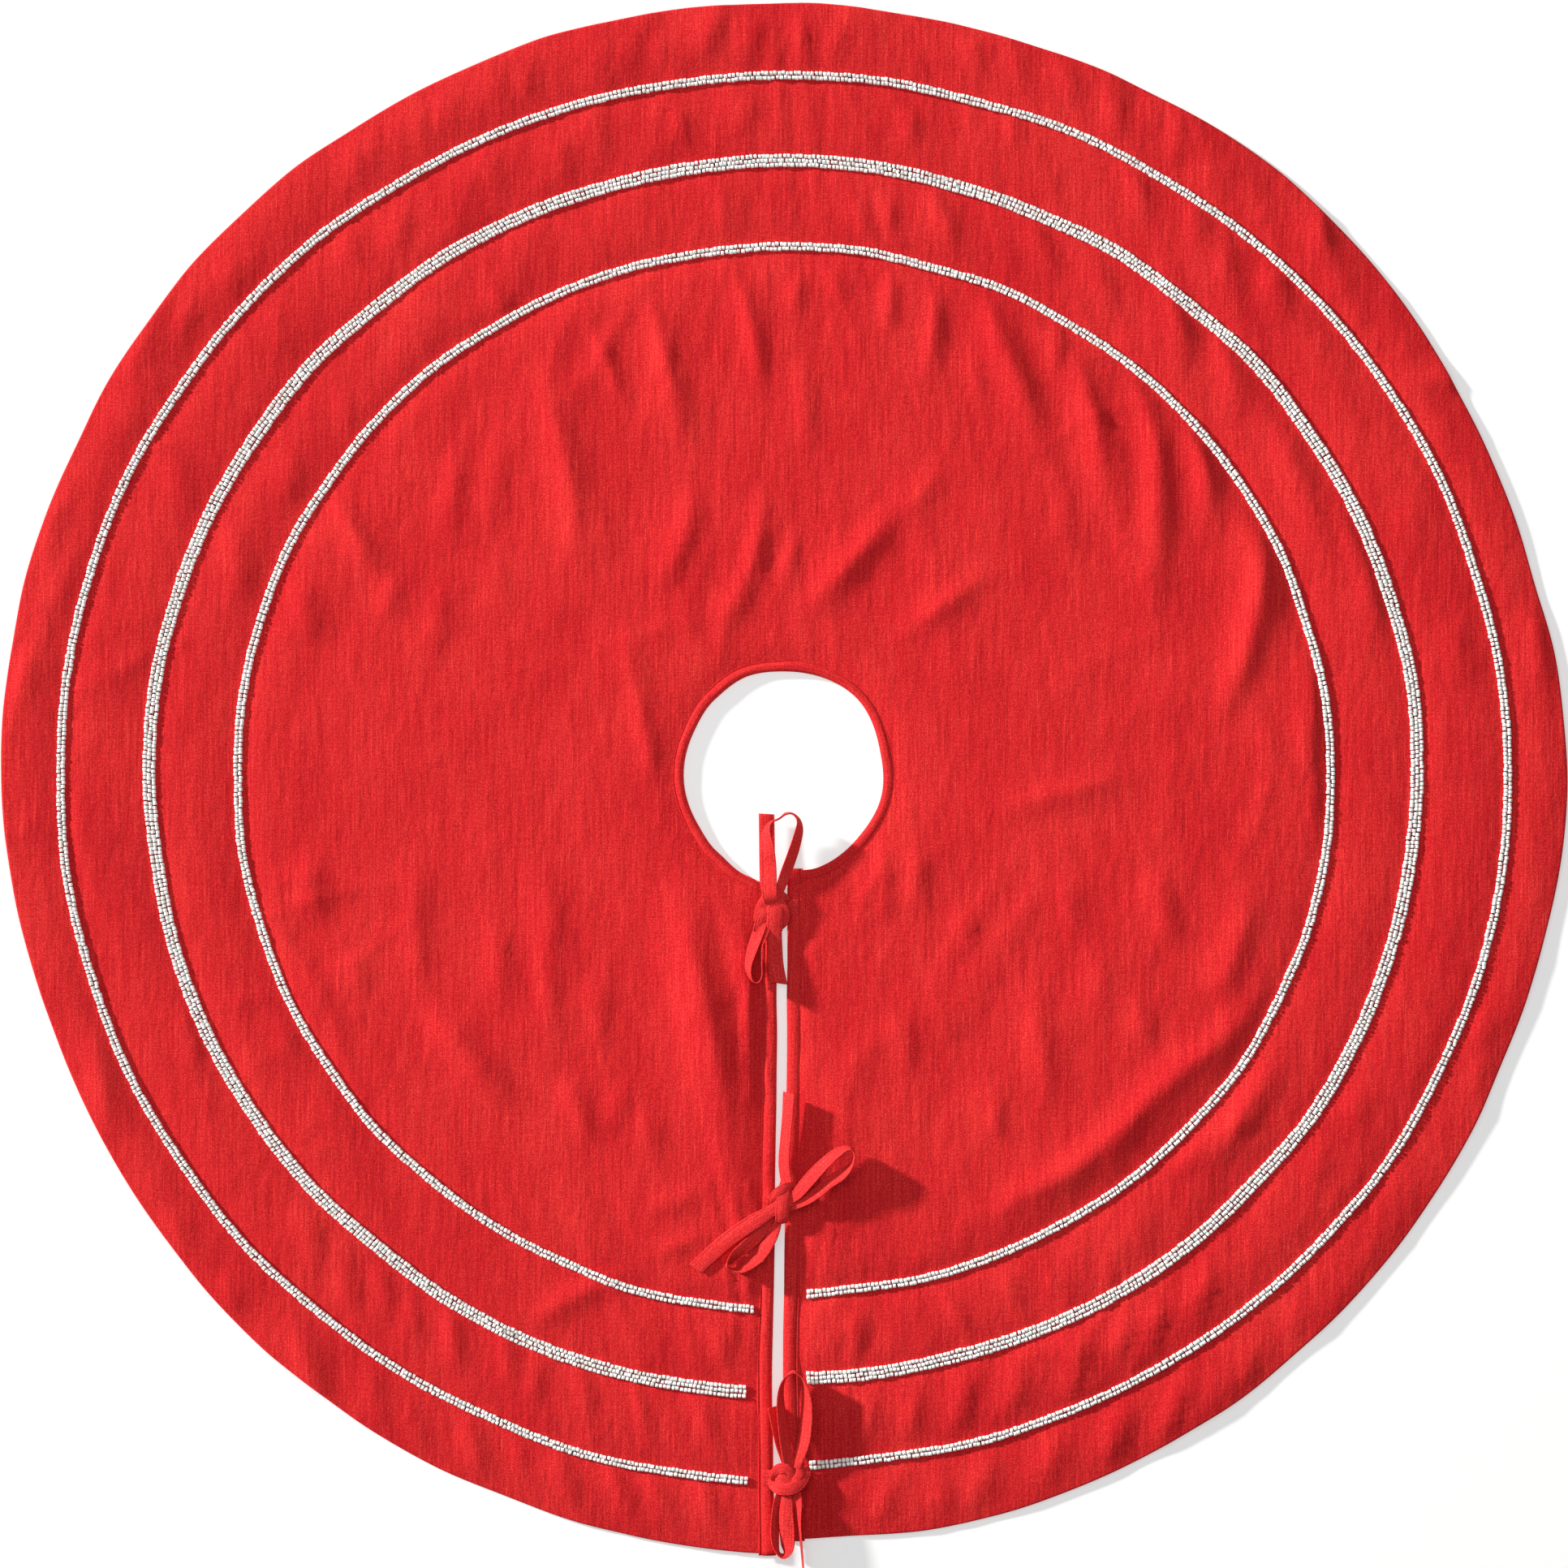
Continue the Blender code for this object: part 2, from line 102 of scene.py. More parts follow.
# Folds of the cover, as (rise, half width, crest points) in mm. Each crest fades out at its ends.
FOLDS = (
    # hem, upper left
    (1.2, 7, (-352, 520), (-345, 470)),
    (1.0, 6, (-330, 528), (-340, 478)),
    (1.0, 6, (-300, 545), (-290, 505)),
    (1.3, 7, (-268, 560), (-276, 515)),
    (1.0, 7, (-228, 572), (-238, 540)),
    (1.1, 7, (-203, 585), (-212, 545)),
    (1.2, 8, (-140, 598), (-160, 555)),
    (1.0, 7, (-92, 605), (-102, 572)),
    (1.4, 8, (-52, 620), (-68, 578)),
    (1.2, 7, (-20, 618), (-28, 582)),
    (1.0, 7, (18, 620), (12, 585)),
    (0.8, 7, (48, 614), (40, 580)),
    (2.4, 15, (-492, 405), (-516, 360), (-536, 310)),
    (1.3, 8, (-474, 400), (-492, 342)),
    (1.3, 10, (-566, 296), (-520, 276), (-468, 232)),
    (1.3, 11, (-440, 428), (-453, 382)),
    (1.1, 10, (-585, 232), (-602, 165)),
    (1.1, 10, (-605, 115), (-617, 45)),
    # outer ring, upper left
    (1.4, 8, (-306, 470), (-317, 416)),
    (1.2, 9, (-354, 452), (-346, 402)),
    (1.1, 8, (-414, 387), (-405, 333)),
    (1.0, 9, (-232, 512), (-239, 468)),
    (1.0, 8, (-182, 522), (-179, 478)),
    (1.1, 8, (-153, 537), (-147, 498)),
    (1.3, 9, (-86, 548), (-80, 503)),
    (0.9, 8, (-30, 552), (-36, 513)),
    (1.1, 9, (-502, 258), (-477, 212)),
    # middle ring, upper left
    (1.7, 12, (-446, 218), (-438, 128)),
    (1.6, 12, (-397, 270), (-403, 213)),
    (0.9, 8, (-356, 318), (-352, 272)),
    (0.8, 8, (-242, 397), (-220, 373)),
    (0.8, 7, (-187, 452), (-138, 418)),
    (0.8, 7, (-56, 490), (-45, 438)),
    # inner field, upper left
    (2.6, 12, (-366, 240), (-345, 192), (-316, 155)),
    (1.8, 14, (-392, 168), (-380, 102)),
    (1.6, 8, (-312, 168), (-322, 120)),
    (1.4, 9, (-261, 288), (-274, 172)),
    (1.0, 8, (-224, 275), (-246, 185)),
    (1.4, 8, (-276, 162), (-288, 83)),
    (3.2, 15, (-199, 335), (-173, 240), (-164, 142)),
    (1.5, 9, (-159, 375), (-125, 290)),
    (2.2, 12, (-112, 408), (-94, 330), (-72, 252)),
    (2.6, 13, (-62, 248), (-82, 190), (-103, 142)),
    (2.3, 11, (-42, 420), (-26, 365), (-17, 296)),
    (2.5, 11, (-10, 248), (-26, 170), (-60, 92)),
    (1.8, 9, (-132, 138), (-112, 40), (-103, -14)),
    (1.3, 8, (13, 205), (-9, 125)),
    (1.1, 8, (-151, 238), (-142, 162)),
    (0.9, 9, (-235, 190), (-228, 118)),
    # hem, upper right
    (1.3, 7, (149, 605), (161, 558)),
    (0.9, 7, (184, 597), (196, 557)),
    (1.6, 9, (215, 588), (245, 537)),
    (1.4, 8, (261, 567), (277, 512)),
    (0.8, 6, (292, 552), (301, 516)),
    (1.6, 7, (318, 541), (319, 492)),
    (0.8, 7, (350, 502), (366, 478)),
    (1.1, 8, (431, 462), (437, 412)),
    (0.8, 8, (530, 352), (541, 298)),
    (1.3, 9, (606, 148), (617, 55)),
    # outer ring, upper right
    (1.1, 8, (104, 547), (102, 507)),
    (1.3, 7, (176, 550), (194, 503)),
    (1.4, 9, (275, 503), (299, 446)),
    (1.4, 9, (329, 480), (341, 428)),
    (1.7, 10, (388, 422), (408, 360)),
    (1.1, 9, (350, 437), (373, 383)),
    (1.1, 10, (540, 135), (549, 65)),
    (0.8, 10, (500, 232), (516, 168)),
    # middle ring, upper right
    (1.8, 9, (113, 482), (146, 418)),
    (1.1, 7, (88, 472), (86, 438)),
    (1.0, 7, (54, 470), (71, 432)),
    (1.4, 9, (193, 457), (226, 398)),
    (1.5, 9, (244, 434), (270, 366)),
    (2.5, 12, (298, 420), (318, 375), (331, 322)),
    (2.0, 11, (351, 372), (373, 282)),
    (2.2, 12, (396, 305), (418, 235), (450, 145)),
    (2.0, 12, (438, 245), (472, 160), (483, 95)),
    # inner field, upper right
    (1.0, 7, (14, 414), (10, 368)),
    (1.1, 7, (35, 417), (49, 378)),
    (1.4, 8, (16, 342), (21, 252)),
    (1.3, 8, (87, 412), (84, 348)),
    (1.7, 9, (120, 407), (123, 370), (116, 302)),
    (3.4, 14, (156, 405), (183, 335), (217, 262)),
    (1.0, 8, (146, 347), (166, 297)),
    (1.1, 8, (222, 374), (222, 327)),
    (3.0, 13, (230, 364), (252, 285), (267, 190)),
    (3.4, 14, (266, 356), (299, 280), (303, 200), (297, 116)),
    (2.6, 11, (316, 308), (341, 250), (346, 182)),
    (3.6, 16, (366, 254), (387, 175), (372, 90), (343, 30)),
    (2.0, 12, (424, 142), (430, 60), (424, -12)),
    (3.2, 14, (104, 226), (62, 180), (2, 114)),
    (1.7, 13, (178, 170), (78, 102)),
    (1.2, 10, (132, 252), (98, 212)),
    (1.2, 14, (300, 6), (150, -36)),
    # hem, lower left
    (2.2, 14, (-562, -198), (-552, -250), (-540, -302)),
    (1.0, 8, (-500, -348), (-480, -392)),
    (1.1, 8, (-456, -398), (-440, -442)),
    (2.8, 13, (-400, -436), (-368, -518)),
    (1.5, 8, (-346, -468), (-318, -537)),
    (1.3, 8, (-313, -498), (-285, -552)),
    (1.8, 9, (-263, -512), (-240, -574)),
    (1.1, 7, (-223, -528), (-205, -577)),
    (1.3, 8, (-189, -543), (-168, -594)),
    (1.2, 7, (-149, -546), (-120, -600)),
    (1.2, 7, (-113, -558), (-88, -610)),
    (1.5, 8, (-73, -558), (-50, -617)),
    # outer ring, lower left
    (1.5, 8, (-389, -343), (-372, -412)),
    (1.6, 8, (-363, -368), (-345, -442)),
    (1.4, 7, (-331, -388), (-318, -447)),
    (1.4, 7, (-301, -416), (-300, -467)),
    (1.8, 8, (-273, -423), (-262, -488)),
    (1.4, 8, (-231, -438), (-218, -502)),
    (1.2, 8, (-201, -463), (-198, -512)),
    (1.1, 7, (-173, -473), (-150, -522)),
    (1.3, 6, (-127, -475), (-102, -554)),
    (1.1, 7, (-79, -493), (-52, -547)),
    (0.9, 9, (-490, -178), (-470, -252)),
    # middle ring, lower left
    (2.3, 10, (-214, -448), (-165, -420), (-110, -401)),
    (1.3, 9, (-60, -443), (-44, -482)),
    (1.1, 10, (-420, -188), (-385, -242)),
    # inner field, lower left
    (2.0, 13, (-386, -56), (-378, -128)),
    (1.3, 9, (-353, -138), (-338, -182)),
    (1.6, 9, (-298, -56), (-294, -180)),
    (4.0, 15, (-294, -180), (-256, -225), (-210, -274)),
    (2.0, 11, (-194, -50), (-190, -150), (-186, -244)),
    (1.6, 8, (-233, -108), (-228, -197)),
    (2.3, 9, (-181, -238), (-151, -304)),
    (1.3, 8, (-132, -246), (-138, -294)),
    (1.6, 9, (-121, -266), (-95, -310)),
    (1.1, 8, (-152, -158), (-146, -232)),
    (6.2, 22, (-86, -60), (-72, -150), (-54, -232), (-34, -348)),
    (2.2, 7, (-50, -84), (-32, -140), (-26, -200), (-26, -290)),
    (1.3, 8, (-116, -353), (-58, -338)),
    (1.3, 8, (-112, -389), (-54, -370)),
    # inner field, lower right
    (1.1, 6, (76, -72), (62, -113)),
    (1.5, 7, (80, -46), (82, -127)),
    (1.5, 10, (104, -43), (112, -127)),
    (1.0, 9, (145, -98), (150, -152)),
    (1.3, 10, (232, -68), (236, -142)),
    (2.0, 12, (300, -66), (318, -152)),
    (1.4, 10, (284, -168), (294, -227)),
    (1.8, 12, (202, -162), (216, -278)),
    (1.4, 11, (250, -118), (260, -207)),
    (1.4, 9, (168, -243), (174, -302)),
    (1.0, 9, (95, -198), (100, -242)),
    (2.6, 15, (389, -66), (362, -150), (348, -188)),
    (3.4, 17, (413, -120), (370, -198), (312, -248), (245, -312), (182, -346), (112, -388)),
    # middle ring, lower right
    (2.0, 12, (414, -212), (372, -275), (328, -332)),
    (1.3, 9, (352, -283), (312, -332)),
    (1.1, 8, (290, -343), (288, -392)),
    (1.1, 7, (128, -413), (150, -457)),
    (1.0, 7, (178, -398), (186, -432)),
    (1.0, 7, (212, -388), (222, -427)),
    (1.0, 8, (62, -428), (56, -472)),
    # outer ring, lower right
    (1.2, 7, (72, -498), (66, -542)),
    (1.3, 7, (108, -493), (100, -542)),
    (1.5, 8, (151, -478), (138, -537)),
    (1.6, 8, (196, -468), (178, -527)),
    (2.0, 9, (244, -447), (225, -518)),
    (1.5, 8, (283, -428), (268, -484)),
    (1.5, 8, (309, -415), (289, -482)),
    (1.5, 8, (353, -383), (326, -452)),
    (0.9, 8, (440, -288), (425, -342)),
    (0.9, 9, (475, -238), (455, -302)),
    # hem, lower right
    (1.3, 7, (88, -568), (76, -607)),
    (1.1, 6, (132, -563), (124, -602)),
    (1.5, 8, (173, -543), (148, -600)),
    (1.5, 8, (227, -528), (208, -580)),
    (2.0, 9, (281, -503), (256, -564)),
    (1.8, 9, (331, -478), (300, -548)),
    (1.3, 8, (385, -448), (370, -502)),
    (0.9, 8, (420, -418), (410, -462)),
    (0.9, 8, (560, -228), (570, -182)),
)


# ---------------------------------------------------------------- small geometry helpers


def eased(place, stations):
    """A value that eases from station to station, given as (place, value) pairs."""
    places = np.array([s[0] for s in stations], float)
    values = np.array([s[1] for s in stations], float)
    place = np.clip(place, places[0], places[-1])
    k = np.clip(np.searchsorted(places, place, side="right") - 1, 0, len(places) - 2)
    share = (place - places[k]) / (places[k + 1] - places[k])
    share = share * share * (3 - 2 * share)
    return values[k] + (values[k + 1] - values[k]) * share


def rising(share):
    """0 below 0, 1 above 1, and smooth between."""
    share = np.clip(share, 0, 1)
    return share * share * (3 - 2 * share)


def drift(u, v, seed):
    """A smooth random field from -1 to 1 that changes once in each unit of u and v."""
    cells = 64
    table = np.random.default_rng(seed).uniform(-1, 1, (cells, cells))
    iu, iv = np.floor(u).astype(int), np.floor(v).astype(int)
    fu, fv = rising(u - iu), rising(v - iv)
    near = table[iu % cells, iv % cells] * (1 - fu) + table[(iu + 1) % cells, iv % cells] * fu
    far = table[iu % cells, (iv + 1) % cells] * (1 - fu)
    far = far + table[(iu + 1) % cells, (iv + 1) % cells] * fu
    return near * (1 - fv) + far * fv


def smooth_line(points, steps):
    """Catmull-Rom points through rows of numbers, the rows themselves included."""
    rows = np.asarray(points, float)
    padded = np.vstack((2 * rows[0] - rows[1], rows, 2 * rows[-1] - rows[-2]))
    made = []
    for before, here, after, beyond in zip(padded, padded[1:], padded[2:], padded[3:]):
        for t in np.arange(steps) / steps:
            made.append(
                0.5 * (2 * here + (after - before) * t
                       + (2 * before - 5 * here + 4 * after - beyond) * t * t
                       + (3 * here - before - 3 * after + beyond) * t ** 3)
            )
    return np.vstack((made, rows[-1]))


def new_piece(name, points, faces, material, uv=None):
    """A smooth-shaded mesh object at the origin, its faces turned to point out."""
    mesh = bpy.data.meshes.new(name)
    mesh.from_pydata(np.asarray(points, float).tolist(), [], faces)
    if uv is not None:
        layer = mesh.uv_layers.new(name="Cloth")
        corners = np.empty(len(mesh.loops), np.int32)
        mesh.loops.foreach_get("vertex_index", corners)
        layer.data.foreach_set("uv", np.asarray(uv, np.float32)[corners].ravel())
    work = bmesh.new()
    work.from_mesh(mesh)
    bmesh.ops.recalc_face_normals(work, faces=work.faces)
    work.to_mesh(mesh)
    work.free()
    mesh.shade_smooth()
    mesh.materials.append(material)
    made = bpy.data.objects.new(name, mesh)
    bpy.context.scene.collection.objects.link(made)
    return made


def bridge(near, far):
    """Faces between two rows of vertex numbers, one of which may have twice the other's spans."""
    if len(near) == len(far):
        return [(near[i], near[i + 1], far[i + 1], far[i]) for i in range(len(near) - 1)]
    if len(near) > len(far):
        near, far = far, near
    faces = []
    for i in range(len(near) - 1):
        faces.append((near[i], far[2 * i + 1], far[2 * i]))
        faces.append((near[i], near[i + 1], far[2 * i + 1]))
        faces.append((near[i + 1], far[2 * i + 2], far[2 * i + 1]))
    return faces


def two_sided(face_rows, back_rows):
    """Points and faces of a closed sheet from matching rows of points on its face and its back."""
    points = np.vstack(list(face_rows) + list(back_rows))
    starts = np.cumsum([0] + [len(r) for r in list(face_rows) + list(back_rows)])
    numbered = [list(range(a, b)) for a, b in zip(starts, starts[1:])]
    count = len(face_rows)
    face, back = numbered[:count], numbered[count:]
    faces = []
    for rows in (face, back):
        for near, far in zip(rows, rows[1:]):
            faces += bridge(near, far)
    for k in range(count - 1):
        for end in (0, -1):
            faces.append((face[k][end], face[k + 1][end], back[k + 1][end], back[k][end]))
    faces += bridge(face[0], back[0]) + bridge(face[-1], back[-1])
    return points, faces


def skinned(rings):
    """Points and faces of a closed body skinned over rings of points, with its two ends capped."""
    count = len(rings[0])
    faces = [list(range(count)), list(range((len(rings) - 1) * count, len(rings) * count))]
    for k in range(len(rings) - 1):
        for i in range(count):
            j = (i + 1) % count
            faces.append((k * count + i, k * count + j, (k + 1) * count + j, (k + 1) * count + i))
    return np.vstack(rings), faces


# ---------------------------------------------------------------- how the skirt lies


def neck_radius(theta):
    """Distance of the trunk hole's edge from the centre."""
    return eased(np.degrees(theta), HOLE_STATIONS) * MM


def hem_radius(theta):
    """Distance of the hem from the centre, with the small straight runs between its puckers."""
    small = drift(theta * 11, theta * 0, 5) * 1.1 * MM
    return eased(np.degrees(theta), HEM_STATIONS) * MM + small


def band_radius(band, theta):
    """Distance of a bead band's middle from the centre. The left edge of the slit lies lower."""
    boxes = [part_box(f"{band}_bead_row_{i + 1}") for i in range(BEAD_ROWS[band])]
    across = np.mean([(high.x - low.x) / 2 for low, high in boxes])
    along = np.mean([high.y for low, high in boxes])
    mean, oval = (across + along) / 2 - BEAD_WIDTH / 2, (across - along) / (across + along)
    skew = 4.6 * MM * np.exp(-(((TURN - theta) / 0.6) ** 2)) - 8 * MM * np.exp(-((theta / 0.6) ** 2))
    hand = drift(theta * 7, theta * 0, len(band)) * 1.3 * MM
    return mean * (1 - oval * np.cos(2 * theta)) + skew + hand


def edges_round(theta):
    """The radii that divide the cloth into fields: neck, three bands, hem."""
    return (
        neck_radius(theta), band_radius("inner", theta), band_radius("middle", theta),
        band_radius("outer", theta), hem_radius(theta),
    )


def slit_edge(side, distance):
    """X of a slit binding's fold, side -1 left or 1 right, at a distance from the centre."""
    middle = SLIT_X + eased(distance / MM, SLIT_STATIONS) * MM
    return middle + side * (SLIT_HALF + eased(distance / MM, SLIT_WIDTHS) * MM / 2)


def round_angle(x, y):
    """The angle round the skirt from the slit, anticlockwise from above."""
    return np.mod(np.arctan2(x, -y), TURN)


def stand_off(x, y):
    """How far the whole skirt, lining and bindings too, stands off the floor."""
    return 0.7 * MM * (1 + drift(x / 0.16 + 9, y / 0.16 + 4, 21))


def billow(x, y):
    """The cloth's rise between the lines where beads and bindings hold it down."""
    theta, radius = round_angle(x, y), np.hypot(x, y)
    edges = edges_round(theta)
    heights = (3.2 * MM, 2.5 * MM, 2.5 * MM, 2.3 * MM)
    reach, fullness = 0.013, 1.5
    flat_by_slit, rise_from_slit = 0.006, 0.02
    rise = np.zeros_like(radius)
    for height, near, far in zip(heights, edges, edges[1:]):
        inside = (radius >= near) & (radius <= far)
        start = 1 - np.exp(-((np.clip(radius - near, 0, 1) / reach) ** fullness))
        stop = 1 - np.exp(-((np.clip(far - radius, 0, 1) / reach) ** fullness))
        rise = np.where(inside, height * start * stop, rise)
    beside_slit = np.where(y < 0, np.abs(x - SLIT_X), 1)
    return rise * rising((beside_slit - flat_by_slit) / rise_from_slit)


def folds(x, y):
    """The height of the folds in the cover."""
    height = np.zeros_like(x)
    for rise, half_width, *crest in FOLDS:
        way, half = smooth_line(crest, 6) * MM, FOLD_WIDTH * half_width * MM
        low, high = way.min(0) - 3 * half, way.max(0) + 3 * half
        near = np.flatnonzero((x > low[0]) & (x < high[0]) & (y > low[1]) & (y < high[1]))
        if not len(near):
            continue
        point = np.stack((x[near], y[near]), 1)[:, None, :]
        start, run = way[:-1][None], (way[1:] - way[:-1])[None]
        t = np.clip(((point - start) * run).sum(2) / (run * run).sum(2), 0, 1)
        gap = np.linalg.norm(point - start - run * t[..., None], axis=2)
        k, rows = gap.argmin(1), np.arange(len(near))
        share = (k + t[rows, k]) / (len(way) - 1)
        fade = rising(np.minimum(share, 1 - share) / FOLD_FADE)
        section = np.exp(-(np.abs(gap[rows, k] / half) ** FOLD_FLATNESS))
        height[near] += FOLD_RISE * rise ** FOLD_EVENNESS * MM * section * fade
    return height


def puckers(x, y):
    """Small wrinkles that lean with the cloth's warp, strongest near the top and the bottom."""
    lean = 0.4 * y * np.tanh(x * y / 0.12 ** 2)
    short = drift((x + lean) / 0.014, y / 0.07, 31)
    broad = drift((x + lean) / 0.034 + 7, y / 0.11, 32)
    outward = rising((np.hypot(x, y) - 0.2) / 0.25)
    upright = 0.35 + 0.65 * rising(np.abs(y) / 0.35)
    wander = 0.35 * drift(x / 0.09, y / 0.09, 35)
    ridge = 1 - np.abs(drift((x + lean) / 0.042 + wander, y / 0.13 + wander, 33))
    cross = 1 - np.abs(drift((x + 0.6 * y) / 0.16, (y - 0.5 * x) / 0.06 + wander, 34))
    creased = 2.0 * ridge ** 6 + 1.0 * cross ** 6
    here = rising(0.5 + 0.9 * drift(x / 0.13 + 3, y / 0.15 + 8, 36))
    return ((0.5 * short + 0.8 * broad) * (0.4 + 0.6 * outward) * upright + creased * here) * MM


def relief(x, y):
    """Height of the cover's upper face above its flat level."""
    theta, radius = round_angle(x, y), np.hypot(x, y)
    neck, *bands, hem = edges_round(theta)
    held_width, held_share = 0.007, 0.65
    past_hem, release, deepest = 0.008, 0.012, -1.0 * MM
    held = sum(np.exp(-(((radius - band) / held_width) ** 2)) for band in bands)
    beside_slit = np.where(y < 0, np.abs(x - SLIT_X), 1) - SLIT_HALF
    from_binding = np.minimum(radius - neck, beside_slit) - BINDING_WIDTH
    inset = np.minimum(from_binding, hem - radius + past_hem)
    free = (1 - held_share * held) * rising(inset / release)
    crumple = folds(x, y) + puckers(x, y)
    return stand_off(x, y) + billow(x, y) + np.maximum(crumple * free, deepest)


def cover_height(x, y):
    """Height of the cover's upper face above the floor."""
    return COVER_TOP + relief(np.atleast_1d(x).astype(float), np.atleast_1d(y).astype(float))


# ---------------------------------------------------------------- shaders


class Signal:
    """A shader socket that takes part in arithmetic. Each sum adds one Math node."""

    def __init__(self, tree, socket):
        self.tree, self.socket = tree, socket

    def math(self, operation, *values):
        return add_node(self.tree, "ShaderNodeMath", {"operation": operation}, dict(enumerate(values)))

    def __add__(self, other):
        return self.math("ADD", self, other)

    def __radd__(self, other):
        return self.math("ADD", other, self)

    def __sub__(self, other):
        return self.math("SUBTRACT", self, other)

    def __mul__(self, other):
        return self.math("MULTIPLY", self, other)

    def __rmul__(self, other):
        return self.math("MULTIPLY", other, self)


def add_node(tree, kind, settings=None, inputs=None, output=0):
    """Adds a node, sets it, feeds its sockets, and gives one of its outputs as a Signal."""
    made = tree.nodes.new(kind)
    for name, value in (settings or {}).items():
        setattr(made, name, value)
    for key, value in (inputs or {}).items():
        if isinstance(value, Signal):
            tree.links.new(value.socket, made.inputs[key])
        else:
            made.inputs[key].default_value = value
    return Signal(tree, made.outputs[output])


def mixed(tree, share, one, other):
    """A colour between two colours, each a tuple or a Signal."""
    made = tree.nodes.new("ShaderNodeMix")
    made.data_type = "RGBA"
    for key, value in (("Factor_Float", share), ("A_Color", one), ("B_Color", other)):
        socket = next(s for s in made.inputs if s.identifier == key)
        if isinstance(value, Signal):
            tree.links.new(value.socket, socket)
        else:
            socket.default_value = value if key == "Factor_Float" else (*value, 1.0)
    return Signal(tree, next(s for s in made.outputs if s.identifier == "Result_Color"))


def noise(tree, place, scale, detail=2.0, roughness=0.5):
    """Noise from 0 to 1 with its own number of cells per metre along each axis."""
    stretched = add_node(
        tree, "ShaderNodeVectorMath", {"operation": "MULTIPLY"}, {0: place, 1: scale}
    )
    return add_node(
        tree, "ShaderNodeTexNoise", {},
        {"Vector": stretched, "Scale": 1.0, "Detail": detail, "Roughness": roughness},
    )


def waves(tree, value, per_metre):
    """A smooth ripple from 0 to 1 with so many ridges in each metre."""
    return 0.5 + 0.5 * (value * (per_metre * TURN)).math("SINE", value * (per_metre * TURN))


def split(tree, place):
    """The three parts of a place, each as a Signal."""
    parts = tree.nodes.new("ShaderNodeSeparateXYZ")
    tree.links.new(place.socket, parts.inputs[0])
    return [Signal(tree, s) for s in parts.outputs]


def surface(name, **uniform):
    """A Principled material's tree and shader node, with its uniform values set on the sockets."""
    material = bpy.data.materials.new(name)
    material.use_nodes = True
    shader = material.node_tree.nodes["Principled BSDF"]
    for key, value in uniform.items():
        shader.inputs[key.replace("_", " ")].default_value = value
    return material, material.node_tree, shader


def feed(tree, shader, **signals):
    """Links Signals to the shader's sockets of the same names."""
    for key, signal in signals.items():
        tree.links.new(signal.socket, shader.inputs[key.replace("_", " ")])


def bumped(tree, height, depth, strength, under=None):
    """A normal from a height field, over another normal where one is given."""
    values = {"Strength": strength, "Distance": depth, "Height": height}
    if under is not None:
        values["Normal"] = under
    return add_node(tree, "ShaderNodeBump", {}, values)


def slubbed_linen(name, deep, mid, bright, by_uv=False):
    """Plain weave with thick and thin yarns: long slubs down the warp, short ones across."""
    material, tree, shader = surface(name, Sheen_Weight=0.15, Sheen_Roughness=0.5, Specular_IOR_Level=0.14)
    shader.inputs["Sheen Tint"].default_value = (*bright, 1.0)
    place = add_node(tree, "ShaderNodeTexCoord", output="UV" if by_uv else "Object")
    x, y, _ = split(tree, place)
    rib = noise(tree, place, (620.0, 16.0, 1.0), detail=2.0)
    slub = noise(tree, place, (1150.0, 38.0, 1.0), detail=2.0)
    broken = noise(tree, place, (1000.0, 620.0, 1.0), detail=1.0)
    cross_slub = noise(tree, place, (45.0, 1100.0, 1.0), detail=2.0)
    grain = noise(tree, place, (760.0, 900.0, 1.0), detail=3.0, roughness=0.75)
    speckle = noise(tree, place, (340.0, 300.0, 1.0), detail=2.0, roughness=0.6)
    wrinkle = noise(tree, place, (85.0, 36.0, 1.0), detail=3.0, roughness=0.55)
    patches = noise(tree, place, (14.0, 9.0, 1.0), detail=3.0)
    warp = waves(tree, x + 0.0006 * slub, 1450)
    weft = waves(tree, y + 0.0006 * cross_slub, 1300)
    weave = warp * weft
    thick_yarn = (slub - 0.56) * broken * 5.0
    thick_yarn = thick_yarn.math("MAXIMUM", thick_yarn, 0.0)
    tone = (
        0.5 + 0.8 * (rib - 0.5) + 0.4 * (cross_slub - 0.5) + 2.8 * (grain - 0.5)
        + 0.5 * (speckle - 0.5) + 0.6 * (patches - 0.5)
    )
    tone = tone + 0.75 * thick_yarn - 0.08
    tone = tone.math("MAXIMUM", tone, 0.0)
    tone = tone.math("MINIMUM", tone, 1.0)
    low = mixed(tree, (tone * 2.0).math("MINIMUM", tone * 2.0, 1.0), deep, mid)
    high = mixed(tree, (tone * 2.0 - 1.0).math("MAXIMUM", tone * 2.0 - 1.0, 0.0), low, bright)
    height = 0.6 * thick_yarn + 0.15 * cross_slub + 0.14 * weave + 0.6 * grain + 0.4 * rib
    feed(
        tree, shader, Base_Color=high, Roughness=0.82 + 0.14 * grain,
        Normal=bumped(tree, height, 0.42 * MM, 0.65, under=bumped(tree, wrinkle, 2.0 * MM, 0.7)),
    )
    return material


